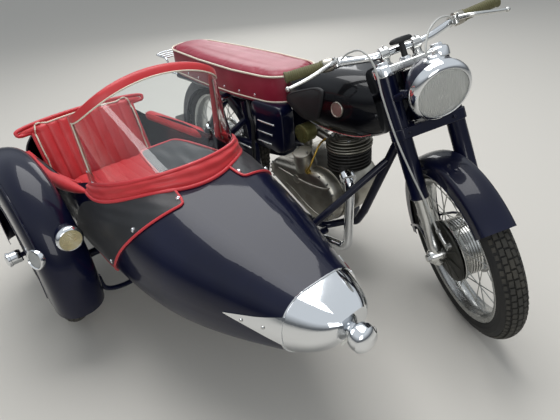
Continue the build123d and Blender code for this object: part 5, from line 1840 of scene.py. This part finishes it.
fluted(cushion, UP, lambda spot: (spot - on_cushion(0, 0, 0)).y / MM + FLUTE_PITCH / 2, FLUTE_PITCH,
       7.0,
       cushion_share)
settle(coated(cushion, red_vinyl), "root", edge=70, replaces=["seat_cushion"], slot="red_vinyl")
near_roll = smooth_path([at(-172, -938, 533), at(-60, -939, 541), at(90, -940, 550),
    at(240, -939, 560), at(390, -931, 580),
                         at(528, -915, 600)], 8)
far_roll = smooth_path([at(-172, -342, 533), at(-60, -341, 541), at(90, -340, 549),
    at(240, -341, 558), at(362, -344, 566)], 8)
bm = bmesh.new()
for line, blunt in ((near_roll, 10), (far_roll, 3)):
    count = len(line)
    radii = [24 * min(1.0, (step + 0.35) / 3) ** 0.5 * min(1.0,
        (count - 1 - step + 0.25) / blunt) ** 0.5
             for step in range(count)]
    pipe(bm, line, radii, 24)
armrests = piece("armrest_rolls", bm, red_vinyl, "root", 60, replaces=["armrests"],
    slot="red_vinyl")
seams = [[point + (UP * 0.72 + LEFT * toward * 0.72) * 23 * MM for point in line[2:-4]]
         for line, toward in ((near_roll, 1), (far_roll, -1))]
piped("armrest_piping", seams, 3, red_piping, "root", 8, slot="red_vinyl")

# %% Cockpit edge
COCKPIT_BACK, COCKPIT_SIDE, COCKPIT_CORNER = -250, 285, 110
edge_line = []
for step in range(97):
    angle = math.radians(90 + 180 * step / 96)
    way = (math.cos(angle), math.sin(angle))
    corner_x = COCKPIT_BACK + COCKPIT_CORNER
    corner_y = math.copysign(COCKPIT_SIDE - COCKPIT_CORNER, way[1])
    edge_line.append((corner_x + COCKPIT_CORNER * way[0], corner_y + COCKPIT_CORNER * way[1]))
edge_line = [*[(x, COCKPIT_SIDE) for x in (400, 200, 0)], *edge_line,
             *[(x, -COCKPIT_SIDE) for x in (0, 200, 400)]]
DECK_LEAST = 450
coaming = []
for x, offset in edge_line:
    spot = laid(hull, at(x - (7 if x < -130 else 0), body_y + offset + math.copysign(4, offset),
        900), -UP, 1)
    if spot is not None and spot.z > DECK_LEAST * MM:
        coaming.append(spot)
piped("cockpit_edge_bead", [coaming], 6, black_vinyl, "root", 10, slot="black_vinyl")

# %% [markdown]
# ## Sidecar mudguard and lamps
# The mudguard is deep and broad, with a lamp let into its shoulder and a round reflector on its
# flank. A crease runs back from the lamp.

# %% Sidecar mudguard
GUARD_CROWN, GUARD_HALF, GUARD_DROP, GUARD_SOFT = 392, 84.0, 84.0, 0.78
guard_centre = sidecar_axle + LEFT * 8 * MM
guard("sidecar_guard",
      guard_section(crown=GUARD_CROWN, half=GUARD_HALF, foot=244, wall=3, bead=4, soft=GUARD_SOFT,
                                     drop=GUARD_DROP), guard_centre, LEFT,
      first=-16, last=196, body="root", node="sidecar_mudguard", steps=96)


def on_guard(angle, lateral, proud=0.0):
    """A point of the mudguard's skin at an angle above the front, sideways from its middle."""
    lean = math.asin(max(-1.0, min(1.0, lateral / GUARD_HALF)))
    reach = GUARD_CROWN - GUARD_DROP + GUARD_DROP * math.cos(lean) ** GUARD_SOFT + proud
    outward = FORWARD * math.cos(angle) * reach + UP * math.sin(angle) * reach
    return guard_centre + (outward + LEFT * lateral) * MM


CREASE_STEPS = 52
crease = [on_guard(math.radians(24 + step * 2.4), -66, 1.0) for step in range(CREASE_STEPS)]
bm = bmesh.new()
pipe(bm, crease, [0.5 + 4.0 * math.sin(math.pi * min(1.0,
    (step + 1) / 8) / 2) * (1 - step / CREASE_STEPS)
                  for step in range(CREASE_STEPS)], 8)
piece("mudguard_crease", bm, navy, "root", slot="navy_enamel")
WHEEL_AHEAD = 255
stays = [smooth_path([at(WHEEL_AHEAD + way * ahead, y, z) for ahead, y, z in (
    (300, -800, 206), (308, -900, 208), (312, -966, 236), (312, -979, 300))], 6) for way in (-1, 1)]
piped("mudguard_stays", stays, 9, navy, "root", 14, slot="navy_enamel")
lamp = at(604, -1030, 508)
turned("mudguard_lamp_shell", [(-92, 0), (-88, 12), (-70, 27), (-44, 37), (-16, 41), (6, 42),
    (6, 36)], lamp, FORWARD, navy,
       "root", 56, slot="navy_enamel")
turned("mudguard_lamp_ring", [(2, 41), (4, 44), (12, 44), (18, 41), (21, 36), (19, 34), (10, 34)],
       lamp, FORWARD, chrome,
       "root", 64, True, slot="chrome")
ribs = [(10, 0), (10, 35), (19, 35)]
for step in range(7):
    ribs += [(21 + step * 2.0, 34 - step * 4.4), (19.6 + step * 2.0, 31.4 - step * 4.4)]
turned("mudguard_lamp_lens", [*ribs, (34, 0)], lamp, FORWARD, side_lens, "root", 56, edge=70,
       replaces=["mudguard_lamp"],
       slot="amber_lens")
turned("mudguard_lamp_dish", [(17, 34), (4, 28), (-8, 16), (-12, 0)], lamp, FORWARD, mirror, "root",
       40, slot="chrome")
disc = on_guard(math.radians(24), -77)
disc_way = (disc - guard_centre).normalized() * 0.5 - LEFT * 0.87
turned("flank_reflector_ring", [(-16, 30), (-16, 35), (2, 36), (6, 34), (7, 30), (4, 28)], disc,
       disc_way, chrome, "root", 48,
       True, slot="chrome")
turned("flank_reflector_disc", [(-14, 30), (3, 29), (5, 20), (5.5, 0)], disc, disc_way, lamp_glass,
       "root", 48, slot="amber_lens")
turned("sidecar_hub_end", [(0, 0), (0, 25), (34, 25), (36, 28), (44, 28), (50, 20), (52, 8),
    (52, 0)], at(WHEEL_AHEAD, -1150, 324), -LEFT, chrome,
       "root", 40, slot="chrome")

# %% Nose: flash, lamp and plate
NOSE_SEAM, NOSE_HEIGHT, BESIDE = 1345.0, 426, 500
flash_low, flash_top = [smooth_path(flat((*edge, (NOSE_SEAM + 4, end))), 5) for edge, end in (
    (((1183, 443), (1240, 428), (1290, 414)), 397), (((1183, 445), (1240, 456), (1290, 466)), 482))]
rivets = bmesh.new()
for side in (-1, 1):
    rows = []
    for low, top in zip(flash_low, flash_top):
        spots = [low.lerp(top, share / 6) for share in range(7)]
        rows.append([laid(hull, at(spot.x, body_y + side * BESIDE, spot.y), LEFT * -side, 2.2)
                     for spot in spots])
    sheeted("nose_flash_left" if side > 0 else "nose_flash_right", rows, chrome, "root", 3.2,
            edge=30, slot="chrome")
    for x in (1238, 1300):
        turn(rivets, [(0, 0), (0, 5.5), (3, 5), (5, 3), (5.6, 0)],
             laid(hull, at(x, body_y + side * BESIDE, 440), LEFT * -side, 3),
             LEFT * side, 16)
piece("nose_flash_rivets", rivets, polished_alloy, "root", slot="chrome")
nose_seam = []
for angle in full_turn(64):
    way = LEFT * math.cos(angle) + UP * math.sin(angle)
    nose_seam.append(laid(hull, at(NOSE_SEAM, body_y, NOSE_HEIGHT) + way * 0.4, -way, 0.6))
bm = bmesh.new()
pipe(bm, nose_seam, 2.6, 8, loop=True)
piece("nose_cap_bead", bm, chrome, "root", slot="chrome")
bullet = [(-62, 0), (-62, 24), (-50, 23), (-20, 20), (-16, 28), (-8, 36), (6, 40), (16, 39),
          (20, 40), (24, 38), (34, 27), (38, 12),
          (39, 0)]
turned("nose_bullet_lamp", bullet, at(1486, body_y, 430), Vector((1, 0, -0.08)).normalized(),
       chrome, "root", 56, edge=28,
       replaces=["bullet_lamp"], slot="chrome")
bm = bmesh.new()
plate = [at(1440, body_y + y, z) for y,
         z in ((-17, 372), (17, 372), (20, 376), (20, 398), (-20, 398), (-20, 376))]
slab(bm, plate, Vector(), FORWARD * 2 * MM)
piece("nose_small_plate", bm, white_enamel, "root", 30, 0.5, slot="plate_paint")
print("sidecar done")

# %% [markdown]
# ## Control cables
# Two sheathed cables leave the lever clips and arc forward over the bar. The right one runs down
# to the front brake's lever and the left one dives into the headlamp bowl. Both turn with the
# fork.

# %% Cables
SHEATH = 6.4


def sheathed(name, points, thick_mm, material):
    """A sheathed cable along a smooth route on the fork, made as a round tube."""
    line = smooth_path([on_fork(*point) for point in points], 10)
    made = piped(name, [line], thick_mm / 2, material, "fork", 12, edge=60, slot="black_rubber")


sheathed("front_brake_cable", [
    (712, -24, -192), (723, 10, -170), (714, 60, -144), (658, 92, -130), (560, 90, -132),
        (430, 86, -126),
    (300, 87, -110), (190, 86, -92), (100, 79, -80)], SHEATH, grey_sheath)
sheathed("left_lever_cable", [
    (712, -24, 192), (726, 6, 162), (726, 44, 112), (702, 80, 62), (668, 100, 34), (630, 114, 18)],
    SHEATH, grey_sheath)
print("trim done")

# %% [markdown]
# ## Floor and light
# The outfit stands on a plain pale floor. One large soft lamp hangs overhead like a bright sky
# and two weaker ones fill the sides. The world is pale for what the camera sees and dimmer as a
# light, so that each colour renders about as it is written. Reflections see a bright sky over a
# dark skyline, which is what gives paint and chrome their contrast out of doors.

# %% Studio
FLOOR_HALF = 30.0
bm = bmesh.new()
corners = [bm.verts.new((x * FLOOR_HALF, y * FLOOR_HALF, 0.0)) for x,
           y in ((-1, -1), (1, -1), (1, 1), (-1, 1))]
bm.faces.new(corners)
floor_mesh = bpy.data.meshes.new("floor")
bm.to_mesh(floor_mesh)
bm.free()
floor = bpy.data.objects.new("floor", floor_mesh)
scene.collection.objects.link(floor)
floor_mesh.materials.append(finish("matt_studio_floor", "#D6D2CA", Roughness=0.9)[0])


def soft_lamp(name, spot, target, size, watts):
    """A square soft light that looks at a point."""
    data = bpy.data.lights.new(name, "AREA")
    data.shape, data.size, data.energy = "SQUARE", size, watts
    lamp = bpy.data.objects.new(name, data)
    scene.collection.objects.link(lamp)
    lamp.location = spot
    lamp.rotation_mode = "QUATERNION"
    lamp.rotation_quaternion = (Vector(target) - Vector(spot)).to_track_quat("-Z", "Y")
    return lamp


middle = (0.1, 0.0, 0.4)
soft_lamp("overhead", (-0.8, 0.6, 4.6), middle, 3.2, 150)
soft_lamp("front_fill", (4.2, -2.4, 2.6), middle, 2.0, 45)
soft_lamp("rear_fill", (-3.6, 3.2, 2.2), middle, 2.0, 35)
scene.world = bpy.data.worlds.new("studio")
scene.world.use_nodes = True
sky = scene.world.node_tree
backdrop = sky.nodes["Background"]
backdrop.inputs["Color"].default_value = colour("#D5DBE1")
rays = add_node(sky, "ShaderNodeLightPath")
seen = add_node(sky, "ShaderNodeMath",
                {0: rays.outputs["Is Camera Ray"], 1: rays.outputs["Is Transmission Ray"]},
                operation="MAXIMUM")
level = add_node(sky, "ShaderNodeMapRange",
    {"Value": seen.outputs[0], "To Min": 0.55, "To Max": 1.0})
direction = add_node(sky, "ShaderNodeTexCoord")
height = add_node(sky, "ShaderNodeSeparateXYZ", {"Vector": direction.outputs["Generated"]})
skyline = add_node(sky, "ShaderNodeMapRange", {
    "Value": height.outputs["Z"], "From Min": 0.1, "From Max": 0.5, "To Min": 0.2, "To Max": 1.0})
strength = add_node(sky, "ShaderNodeMapRange", {
    "Value": rays.outputs["Is Glossy Ray"], "To Min": level.outputs["Result"],
        "To Max": skyline.outputs["Result"]})
sky.links.new(strength.outputs["Result"], backdrop.inputs["Strength"])
scene.view_settings.view_transform = "Standard"
